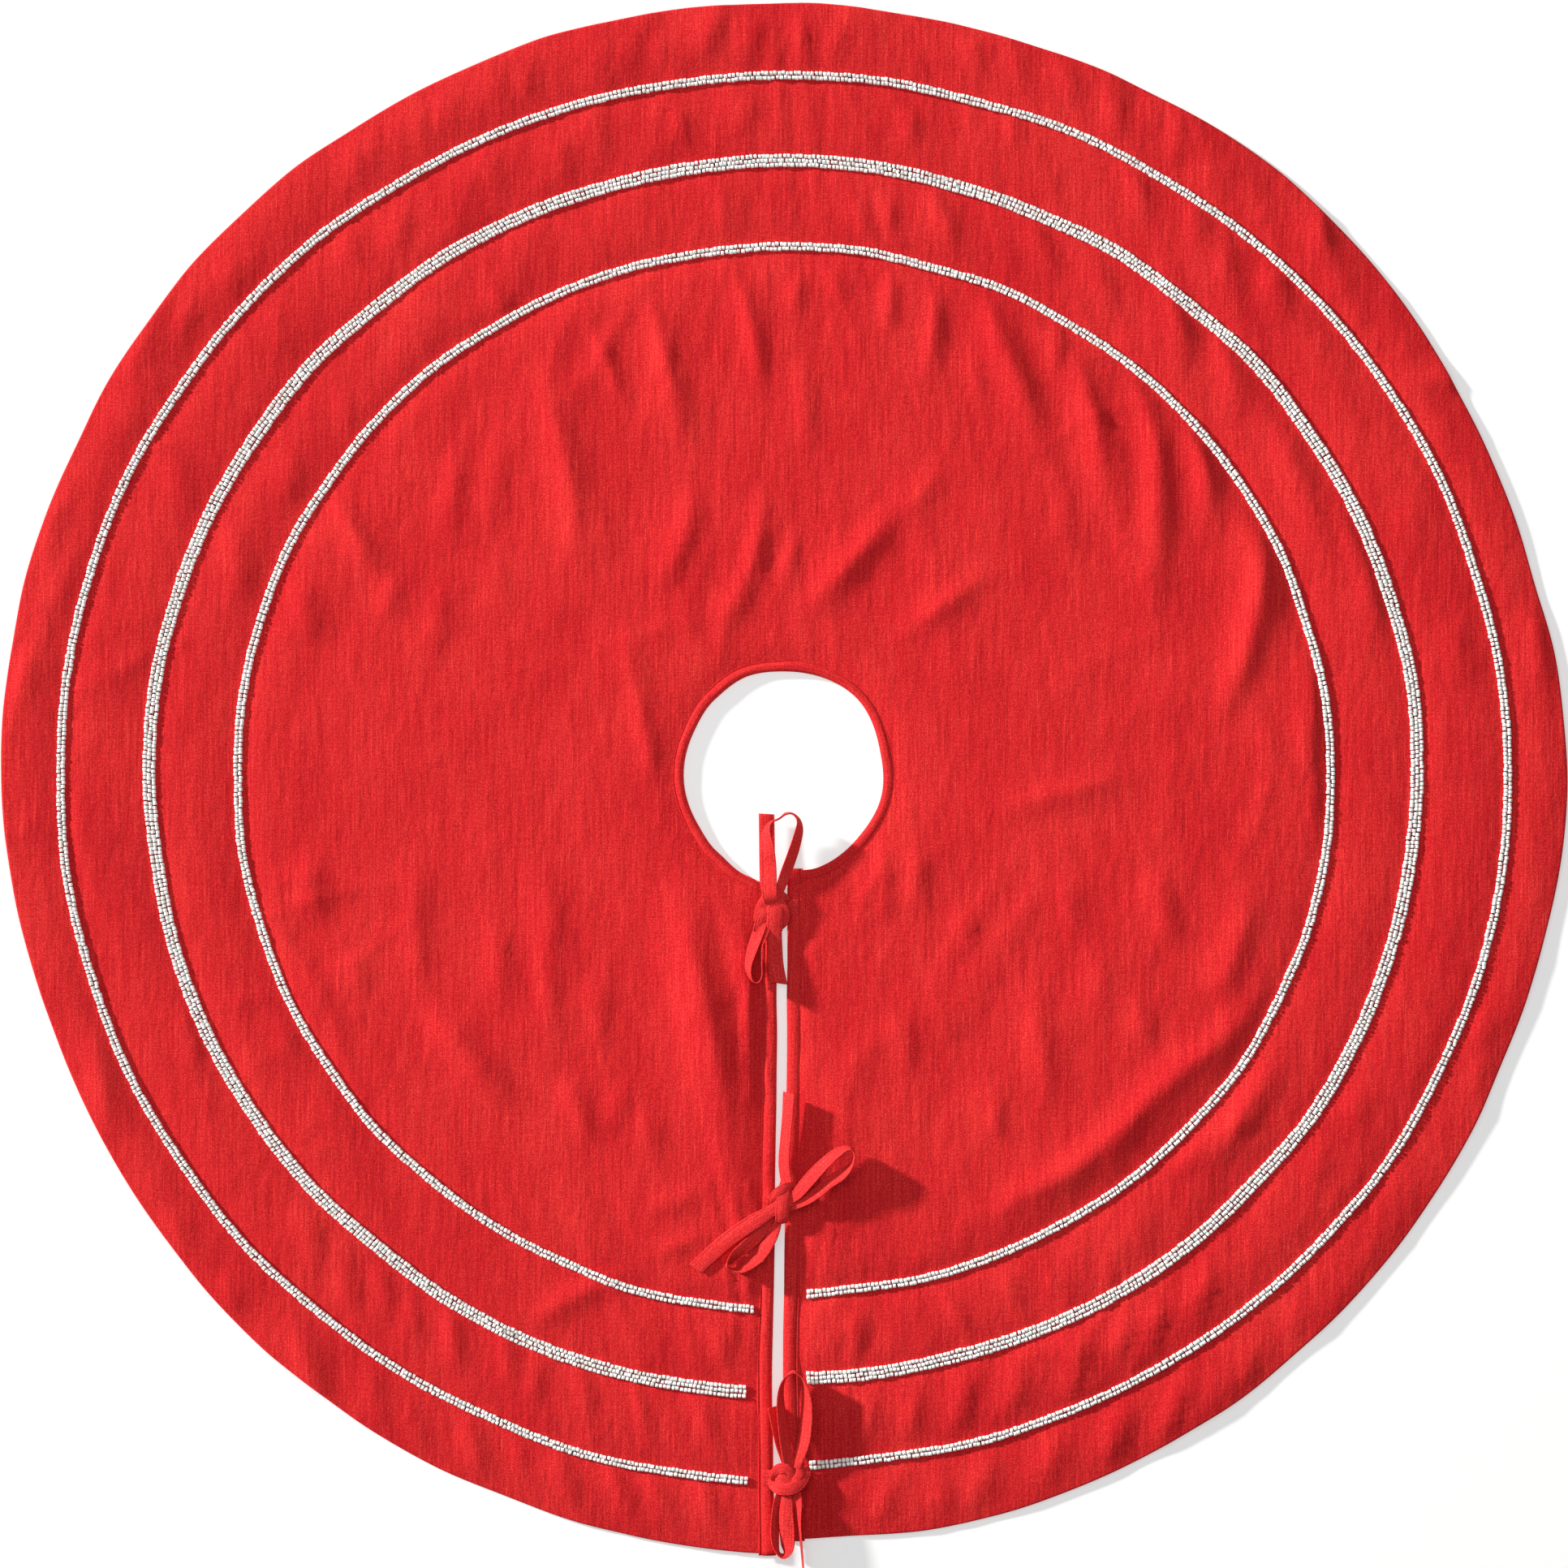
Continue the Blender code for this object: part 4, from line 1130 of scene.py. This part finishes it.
# Each tie's way out of its knot: (x, y, height, roll in degrees, share of the width), in mm from
# the knot's middle. A positive roll raises the edge on the left of the way.
WAYS = {
    "top": {
        "upper_tail": (
            (-4.6, 10.0, -0.5, 0, 0.7), (-5.0, 20.0, -1.5, 0, 1.0), (-5.4, 36.0, -3.4, 0, 1.0),
            (-5.6, 56.0, -4.6, 4, 1.0), (-5.9, 75.6, -4.8, 6, 1.0),
        ),
        "upper_loop": (
            (-2.2, 3.4, 2.6, 180, 0.85), (-2.6, 6.0, 5.6, 180, 0.9), (-3.4, 11.0, 6.5, 178, 0.98),
            (-3.8, 20.0, 4.6, 172, 1.0), (-3.9, 34.0, 3.0, 162, 1.0), (-4.9, 48.0, 6.9, 150, 1.0),
            (-5.9, 60.0, 7.4, 122, 1.0), (-3.0, 68.0, 7.6, 100, 0.95), (4.5, 71.8, 7.5, 88, 0.8),
            (9.5, 75.4, 7.2, 96, 0.85), (15.0, 75.6, 6.6, 92, 0.9), (19.6, 70.5, 6.1, 102, 1.0),
            (20.0, 62.0, 5.4, 120, 1.0), (16.4, 48.0, 4.8, 130, 1.0), (11.6, 34.0, 3.9, 136, 0.95),
            (6.8, 20.0, 2.4, 160, 0.7), (4.0, 11.0, 0.6, 178, 0.5),
        ),
        "lower_loop": (
            (-6.0, -7.0, 0.5, -180, 0.4), (-10.6, -15.8, 1.7, -166, 0.7), (-14.5, -26.0, 2.8, -142, 0.9),
            (-18.4, -38.0, 3.8, -126, 1.0), (-20.3, -49.0, 4.2, -112, 1.0), (-18.2, -57.4, 4.4, -98, 1.0),
            (-13.6, -60.4, 4.4, -92, 1.0), (-10.2, -55.5, 4.0, -88, 1.0), (-10.6, -44.0, 3.4, -80, 0.95),
            (-10.4, -30.0, 2.4, -70, 0.8), (-6.4, -17.4, 1.3, -20, 0.5), (-3.4, -8.0, 0.2, 0, 0.35),
        ),
        "lower_tail": (
            (-0.6, -6.0, 3.6, 0, 0.8), (0.2, -16.0, 2.2, 0, 0.95), (0.4, -28.0, -0.6, 3, 1.0),
            (1.5, -46.0, -3.8, 5, 1.0), (4.3, -61.6, -4.6, 2, 1.0),
        ),
    },
    "middle": {
        "right_loop": (
            (4.0, 2.6, 2.0, 178, 0.45), (11.4, 7.6, 4.5, 164, 0.7), (21.0, 19.0, 6.1, 146, 0.95),
            (33.0, 32.0, 7.3, 134, 1.0), (45.0, 42.4, 8.1, 120, 1.0), (53.6, 46.0, 8.5, 100, 1.0),
            (58.2, 42.6, 8.6, 92, 1.0), (56.4, 33.4, 8.4, 80, 1.0), (48.0, 25.2, 7.7, 48, 0.98),
            (38.0, 18.4, 6.7, 40, 0.9), (29.0, 10.6, 5.5, 46, 0.9), (19.0, 3.6, 4.1, 30, 0.7),
            (9.0, -1.6, 2.1, 12, 0.45), (4.0, -3.0, 0.0, 0, 0.35),
        ),
        "upper_tail": (
            (3.6, 6.6, 0.6, 0, 0.5), (3.8, 17.0, 1.0, -22, 0.75), (1.6, 34.0, 1.4, -44, 0.95),
            (2.8, 54.0, 2.6, -50, 1.0), (4.6, 74.0, 3.6, -48, 1.0), (5.6, 90.4, 4.4, -42, 1.0),
        ),
        "left_tail": (
            (-5.4, -3.4, 2.8, 0, 0.6), (-13.0, -8.0, 3.2, 3, 0.85), (-23.8, -14.6, 2.6, 5, 1.0),
            (-41.5, -27.0, -0.6, 4, 1.0), (-57.0, -40.4, -2.8, 4, 1.0), (-69.8, -52.6, -3.6, 2, 1.0),
        ),
        "left_loop": (
            (-2.0, -8.6, -0.6, 0, 0.35), (-4.4, -18.0, -0.6, 12, 0.6), (-9.6, -29.0, 0.2, 30, 0.85),
            (-18.0, -41.0, 0.8, 40, 1.0), (-29.0, -49.6, 1.0, 54, 1.0), (-38.6, -52.4, 1.0, 84, 1.0),
            (-44.0, -49.6, 1.0, 92, 1.0), (-41.0, -43.8, 0.8, 66, 1.0), (-31.4, -36.0, -1.0, 36, 0.95),
            (-19.4, -26.0, -2.6, 14, 0.8), (-8.0, -11.0, -1.4, 0, 0.35),
        ),
    },
    "bottom": {
        "upper_loop": (
            (-1.6, 5.0, 2.0, 0, 0.4), (-2.0, 15.0, 3.2, 22, 0.6), (-3.8, 32.3, 3.9, 44, 0.9),
            (-6.2, 52.0, 4.6, 55, 1.0), (-7.2, 68.0, 5.2, 66, 1.0), (-4.6, 80.4, 5.5, 80, 1.0),
            (2.7, 87.2, 5.6, 92, 1.0), (9.8, 81.4, 5.5, 78, 1.0), (13.0, 68.0, 5.2, 56, 1.0),
            (13.4, 52.0, 4.6, 42, 1.0), (11.4, 32.3, 3.9, 34, 0.95), (7.0, 15.0, 2.6, 18, 0.65),
            (4.4, 6.0, 1.0, 0, 0.4),
        ),
        "upper_tail": (
            (-1.6, 5.0, -0.6, 0, 0.4), (-3.4, 15.0, -1.0, 16, 0.6), (-7.4, 31.0, -1.0, 42, 0.95),
            (-10.6, 45.0, -0.8, 48, 1.0), (-13.2, 58.4, -0.6, 48, 1.0),
        ),
        "lower_loop": (
            (-4.6, -5.4, 0.4, 0, 0.35), (-8.6, -14.0, 0.0, -26, 0.55), (-10.8, -27.0, -0.6, -50, 0.85),
            (-11.6, -40.0, -0.6, -56, 1.0), (-11.2, -52.0, -0.2, -64, 1.0), (-8.8, -59.8, 0.6, -84, 1.0),
            (-4.6, -61.0, 1.4, -78, 1.0), (-2.0, -54.4, 2.2, -34, 1.0), (-2.2, -42.0, 2.6, -12, 1.0),
            (-2.8, -28.0, 2.2, -8, 0.92), (-2.4, -13.4, 1.2, -4, 0.65), (-2.2, -5.4, 0.6, 0, 0.4),
        ),
        "lower_tail": (
            (4.2, -5.4, 1.4, 0, 0.4), (6.2, -15.4, 1.4, 36, 0.7), (6.9, -31.5, 1.4, 72, 0.95),
            (8.8, -50.3, 1.4, 84, 1.0), (10.9, -73.7, 1.4, 88, 1.0),
        ),
    },
}

# The straps wound round each knot, written like the ways, and the lump of tape inside it.
WRAPS = {
    "top": (
        ((-12.6, -12.0, -4.2, 0, 0.65), (-10.8, -4.0, 0.2, 0, 0.8), (-7.0, 4.0, 3.8, 0, 0.86),
         (-1.4, 9.0, 5.0, 0, 0.86), (4.4, 8.8, 3.8, 0, 0.84), (8.2, 5.8, 0.6, 0, 0.8),
         (9.8, 3.4, -4.4, 0, 0.7)),
        ((0.6, 5.0, 2.6, 0, 0.8), (5.2, 1.6, 3.4, 0, 0.8), (7.6, -4.4, 2.6, 0, 0.85),
         (6.8, -11.0, 0.6, 0, 0.8), (3.0, -15.4, -3.0, 0, 0.7)),
        ((1.0, 6.0, 2.6, 0, 0.9), (1.2, -2.0, 4.4, 0, 0.98), (1.2, -11.0, 3.6, 0, 1.0),
         (1.0, -19.0, 1.2, 0, 0.95)),
        ((-3.6, 3.0, 1.4, 0, 0.8), (-7.6, -5.0, 3.0, 0, 0.85), (-10.6, -14.0, 1.6, -14, 0.85),
         (-12.6, -20.0, 0.6, -26, 0.8)),
    ),
    "middle": (
        ((-1.6, 15.0, -2.0, 0, 0.6), (1.6, 14.0, 3.4, 0, 0.75), (1.4, 7.4, 5.6, 0, 0.8),
         (0.5, 0.0, 6.0, 0, 0.82), (0.2, -8.0, 5.2, 0, 0.84), (0.4, -14.0, 2.0, 0, 0.82),
         (0.6, -15.6, -4.4, 0, 0.7)),
        ((9.6, 12.0, -3.0, 0, 0.55), (8.4, 14.2, 1.0, 0, 0.6), (3.6, 14.0, 4.8, 0, 0.62),
         (-2.6, 10.6, 5.8, 0, 0.62), (-6.8, 5.0, 3.8, 0, 0.6), (-8.2, -1.0, -1.6, 0, 0.5)),
        ((-12.4, -7.4, 2.6, 0, 0.75), (-6.0, -3.4, 4.0, 0, 0.75), (0.0, 1.6, 3.6, 0, 0.7),
         (3.6, 9.4, 2.0, 0, 0.7), (4.0, 16.0, 0.2, 12, 0.7)),
        ((0.0, -3.0, 3.4, 0, 0.7), (4.6, 2.0, 4.4, 0, 0.75), (9.4, 6.0, 3.0, 12, 0.75)),
    ),
    "bottom": (
        ((-13.8, -0.6, -4.4, 0, 0.55), (-13.4, -4.2, -0.4, 0, 0.65), (-9.4, -6.9, 3.8, 0, 0.74),
         (-3.2, -7.6, 5.4, 0, 0.78), (3.8, -5.8, 5.8, 0, 0.78), (9.6, -1.0, 4.6, 0, 0.75),
         (12.6, 5.4, 1.0, 0, 0.7), (12.2, 9.0, -4.2, 0, 0.6)),
        ((-12.2, -1.6, -3.0, 0, 0.5), (-12.6, 3.6, 1.2, 0, 0.6), (-8.6, 9.0, 4.0, -10, 0.66),
         (-2.6, 8.8, 4.8, -8, 0.66), (0.6, 3.4, 4.2, 0, 0.66), (0.4, -3.6, 2.6, 0, 0.6)),
        ((11.4, 9.6, -1.0, 0, 0.6), (8.2, 6.4, 3.4, 10, 0.7), (4.2, 1.2, 4.4, 8, 0.72),
         (0.6, -4.0, 3.0, 0, 0.7)),
    ),
}
KNOT_CORES = {"top": (7.8, 13.0, 4.6), "middle": (7.4, 13.0, 4.8), "bottom": (11.2, 9.4, 4.6)}

# A tie's section across its width, as (share of half the width, share of half the thickness):
# rounded folded edges and a row of stitching near one of them.
TIE_SECTION = (
    (-1.0, 0.0), (-0.97, 0.62), (-0.88, 0.95), (-0.80, 0.82), (-0.72, 0.55), (-0.64, 0.85),
    (-0.4, 1.08), (0.0, 1.12), (0.5, 1.08), (0.86, 1.0), (0.97, 0.62), (1.0, 0.0),
    (0.97, -0.62), (0.86, -1.0), (0.5, -1.05), (0.0, -1.08), (-0.4, -1.05), (-0.64, -0.85),
    (-0.72, -0.6), (-0.80, -0.82), (-0.88, -0.95), (-0.97, -0.62),
)


def rested(path, rows):
    """The path lifted wherever the tape's lower edge would go into the cloth below it."""
    reach = TIE_WIDTH / 2 * np.abs(np.sin(np.radians(rows[:, 3]))) * rows[:, 4] + TIE_THICKNESS
    x, y = path[:, 0], path[:, 1]
    on_cloth = (np.abs(x - SLIT_X) > 0.009) & (np.hypot(x, y) > NECK_RADIUS)
    needed = np.where(on_cloth, cover_height(x, y) + reach + 0.5 * MM, 0)
    eased_up = np.maximum(needed - path[:, 2], 0)
    for _ in range(3):
        eased_up = np.maximum(eased_up, np.convolve(np.pad(eased_up, 1, "edge"), (0.3, 0.4, 0.3), "valid"))
    from_root = np.minimum(np.arange(len(path)), np.arange(len(path))[::-1] if rows[-1, 4] < 0.7 else 99)
    return path + np.outer(eased_up * rising(from_root / 8), (0, 0, 1))


def tape(way, middle, cup=0.06, steps=7, skew=0.0, resting=False):
    """Points, faces and cloth coordinates of one length of tie along a way of points."""
    rows = smooth_line(way, steps)
    path = rows[:, :3] * MM + np.asarray(middle)
    if resting:
        path = rested(path, rows)
    run = np.gradient(path, axis=0)
    run /= np.linalg.norm(run, axis=1)[:, None]
    left = np.cross((0.0, 0.0, 1.0), run)
    left /= np.maximum(np.linalg.norm(left, axis=1), 1e-6)[:, None]
    up = np.cross(run, left)
    lengths = np.concatenate(([0], np.cumsum(np.linalg.norm(np.diff(path, axis=0), axis=1))))
    rings, uv = [], []
    for k, (at, ahead, side, above, row, along) in enumerate(zip(path, run, left, up, rows, lengths)):
        roll = math.radians(row[3])
        wide = side * math.cos(roll) + above * math.sin(roll)
        face = above * math.cos(roll) - side * math.sin(roll)
        half = TIE_WIDTH / 2 * min(row[4], 1.0)
        thick = TIE_THICKNESS / 2 * (1 + 0.5 * (1 - min(row[4], 1.0)))
        at_end = k in (0, len(path) - 1)
        ring = []
        for across, depth in TIE_SECTION:
            bow = -cup * half * across * across
            slant = ahead * skew * across * half if k == len(path) - 1 else 0
            squeeze = 0.8 if at_end else 1.0
            ring.append(at + wide * half * across + face * (thick * depth * squeeze + bow) + slant)
            uv.append((across * TIE_WIDTH / 2, along))
        rings.append(ring)
    points, faces = skinned(rings)
    return points, faces, uv


def knot_core(sizes, middle, seed):
    """A soft lump of tape: a rounded block with creases."""
    around, rows = 28, 14
    rings, uv = [], []
    for k in range(1, rows):
        lift = math.pi * (k / rows - 0.5)
        ring = []
        for i in range(around):
            turn = TURN * i / around
            square = (abs(math.cos(turn)) ** 2.6 + abs(math.sin(turn)) ** 2.6) ** (-1 / 2.6)
            crease = 1 + 0.07 * drift(np.array([turn * 2.5]), np.array([lift * 3]), seed)[0]
            reach = math.cos(lift) ** 0.7 * square * crease
            ring.append((
                middle[0] + sizes[0] * MM * reach * math.cos(turn),
                middle[1] + sizes[1] * MM * reach * math.sin(turn),
                middle[2] + sizes[2] * MM * math.sin(lift),
            ))
            uv.append((turn * sizes[0] * MM, lift * sizes[2] * MM))
        rings.append(ring)
    points, faces = skinned(rings)
    return points, faces, uv


def knot_middle(bow):
    """The middle of a bow's knot, at the height where the tapes leave it."""
    low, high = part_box(f"{bow}_bow_knot")
    return np.array(((low.x + high.x) / 2, (low.y + high.y) / 2, BOW_Z))


def make_knot(bow):
    """A bow's knot: a lump of tape with straps wound round it, as one piece."""
    middle = knot_middle(bow)
    parts = [knot_core(KNOT_CORES[bow], middle, 90 + len(bow))]
    parts += [tape(way, middle, cup=0.1, steps=6) for way in WRAPS[bow]]
    points, faces = joined([part[:2] for part in parts])
    uv = [pair for part in parts for pair in part[2]]
    knot = new_piece(f"{bow}_knot", points, faces, TIE_LINEN, uv)
    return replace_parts(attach(knot, "skirt"), f"{bow}_bow_knot")


def make_lead(bow, side):
    """The stretch of tie from the binding, where it is sewn down, up into the knot."""
    node = f"{bow}_bow_{side}_lead"
    low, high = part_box(node)
    middle = knot_middle(bow)
    outer, inner = (low.x, high.x) if side == "left" else (high.x, low.x)
    y, z = (low.y + high.y) / 2, (low.z + high.z) / 2
    floor = stand_off(np.array([outer]), np.array([y]))[0]
    way = [
        (outer, y, z + floor, 0, 1.0), (outer * 0.7 + inner * 0.3, y, z + floor + 0.2 * MM, 0, 1.0),
        (inner, y, z + floor + 1.4 * MM, 0, 0.85), (middle[0] * 0.6 + inner * 0.4, y, BOW_Z - 4 * MM, 0, 0.7),
    ]
    relative = [
        ((px - middle[0]) / MM, (py - middle[1]) / MM, (pz - middle[2]) / MM, roll, wide)
        for px, py, pz, roll, wide in way
    ]
    points, faces, uv = tape(relative, middle)
    lead = new_piece(f"{bow}_{side}_lead_tape", points, faces, TIE_LINEN, uv)
    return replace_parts(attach(lead, "skirt"), node)


def make_free_tape(bow, part):
    """A loop or a tail, laid from the knot and lifted wherever it would go into the cloth below it."""
    body, node = f"{bow}_{part}", f"{bow}_bow_{part}"
    skew = {"lower_tail": 0.35, "left_tail": -0.2}.get(part, 0.08)
    points, faces, uv = tape(
        WAYS[bow][part], knot_middle(bow), skew=skew if "tail" in part else 0.0, resting=True
    )
    piece = new_piece(f"{bow}_{part}_tape", points, faces, TIE_LINEN, uv)
    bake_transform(piece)
    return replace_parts(piece, node)


# ---------------------------------------------------------------- the whole skirt


def make_skirt():
    """Every piece of the skirt: the cover and the lining, the bindings and their stitching, the bead bands
    and the bows.
    """
    cover, lining = make_cover(), make_lining()
    neck, left, right = neck_way(NECK_STEPS), slit_way(-1, SLIT_STEPS), slit_way(1, SLIT_STEPS)
    trim = [
        binding_body("neck_tape", neck, "neck_binding", tuck=0.007),
        binding_body("left_slit_tape", left, "left_slit_binding"),
        binding_body("right_slit_tape", right, "right_slit_binding"),
    ]
    stitch = one_stitch()
    for name, way, seed in (("neck", neck, 1), ("left_slit", left, 2), ("right_slit", right, 3)):
        run = laid_along(
            f"{name}_stitches", stitch_path(way), stitch, RED_THREAD, Spacing=STITCH_SPACING, Stray=0.05 * MM,
            Tilt=0.06, Smallest=0.92, Largest=1.08, Seed=seed,
        )
        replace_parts(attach(run, "skirt"), f"{name}_stitching")
        trim.append(run)
    bead = turned_bead()
    for band in BEAD_ROWS:
        trim += make_band(band, bead)
    for bow in BOWS:
        trim.append(make_knot(bow))
        trim += [make_lead(bow, side) for side in ("left", "right")]
        trim += [make_free_tape(bow, part) for part in WAYS[bow]]
    bpy.data.objects.remove(stitch)
    bpy.data.objects.remove(bead)


def make_studio():
    """A pale floor, a low key light from the left and a soft fill from all round."""
    floor_size, floor_drop = 60.0, 0.3 * MM
    half = floor_size / 2
    corners = [
        (-half, -half, -floor_drop), (half, -half, -floor_drop),
        (half, half, -floor_drop), (-half, half, -floor_drop),
    ]
    floor = new_piece("floor", corners, [(0, 1, 2, 3)], FLOOR_PAPER)

    key = bpy.data.lights.new("key", "SUN")
    key.energy, key.angle = 6.05, math.radians(4.5)
    key.color = (1.0, 0.985, 0.96)
    key_object = bpy.data.objects.new("key", key)
    elevation, azimuth = math.radians(17.5), math.radians(153)
    towards = Vector((
        math.cos(elevation) * math.cos(azimuth), math.cos(elevation) * math.sin(azimuth), math.sin(elevation),
    ))
    key_object.rotation_mode = "QUATERNION"
    key_object.rotation_quaternion = towards.to_track_quat("Z", "Y")
    bpy.context.scene.collection.objects.link(key_object)

    soft = bpy.data.lights.new("overhead_softbox", "AREA")
    soft.shape, soft.size, soft.energy = "DISK", 1.2, 8.2
    soft_object = bpy.data.objects.new("overhead_softbox", soft)
    soft_object.location = (-0.12, 0.1, 1.35)
    soft_object.visible_camera = False
    bpy.context.scene.collection.objects.link(soft_object)

    world = bpy.data.worlds.new("studio")
    world.use_nodes = True
    sky = world.node_tree.nodes.get("Background") or world.node_tree.nodes.new("ShaderNodeBackground")
    sky.inputs["Color"].default_value = (0.97, 0.985, 1.0, 1.0)
    sky.inputs["Strength"].default_value = 0.26
    out = world.node_tree.nodes.get("World Output") or world.node_tree.nodes.new("ShaderNodeOutputWorld")
    world.node_tree.links.new(sky.outputs[0], out.inputs["Surface"])
    bpy.context.scene.world = world
    bpy.context.scene.view_settings.view_transform = "Standard"


def make_camera():
    """Straight above, with the whole skirt in a square frame."""
    seen, distance = 1.272, 3.4
    aim_x, aim_y = 0.3 * MM, -7.2 * MM
    lens = bpy.data.cameras.new("camera")
    lens.lens = distance * lens.sensor_width / seen
    lens.clip_end = 20.0
    camera = bpy.data.objects.new("camera", lens)
    camera.location = (aim_x, aim_y, distance)
    bpy.context.scene.collection.objects.link(camera)
    bpy.context.scene.camera = camera


make_skirt()
make_studio()
make_camera()
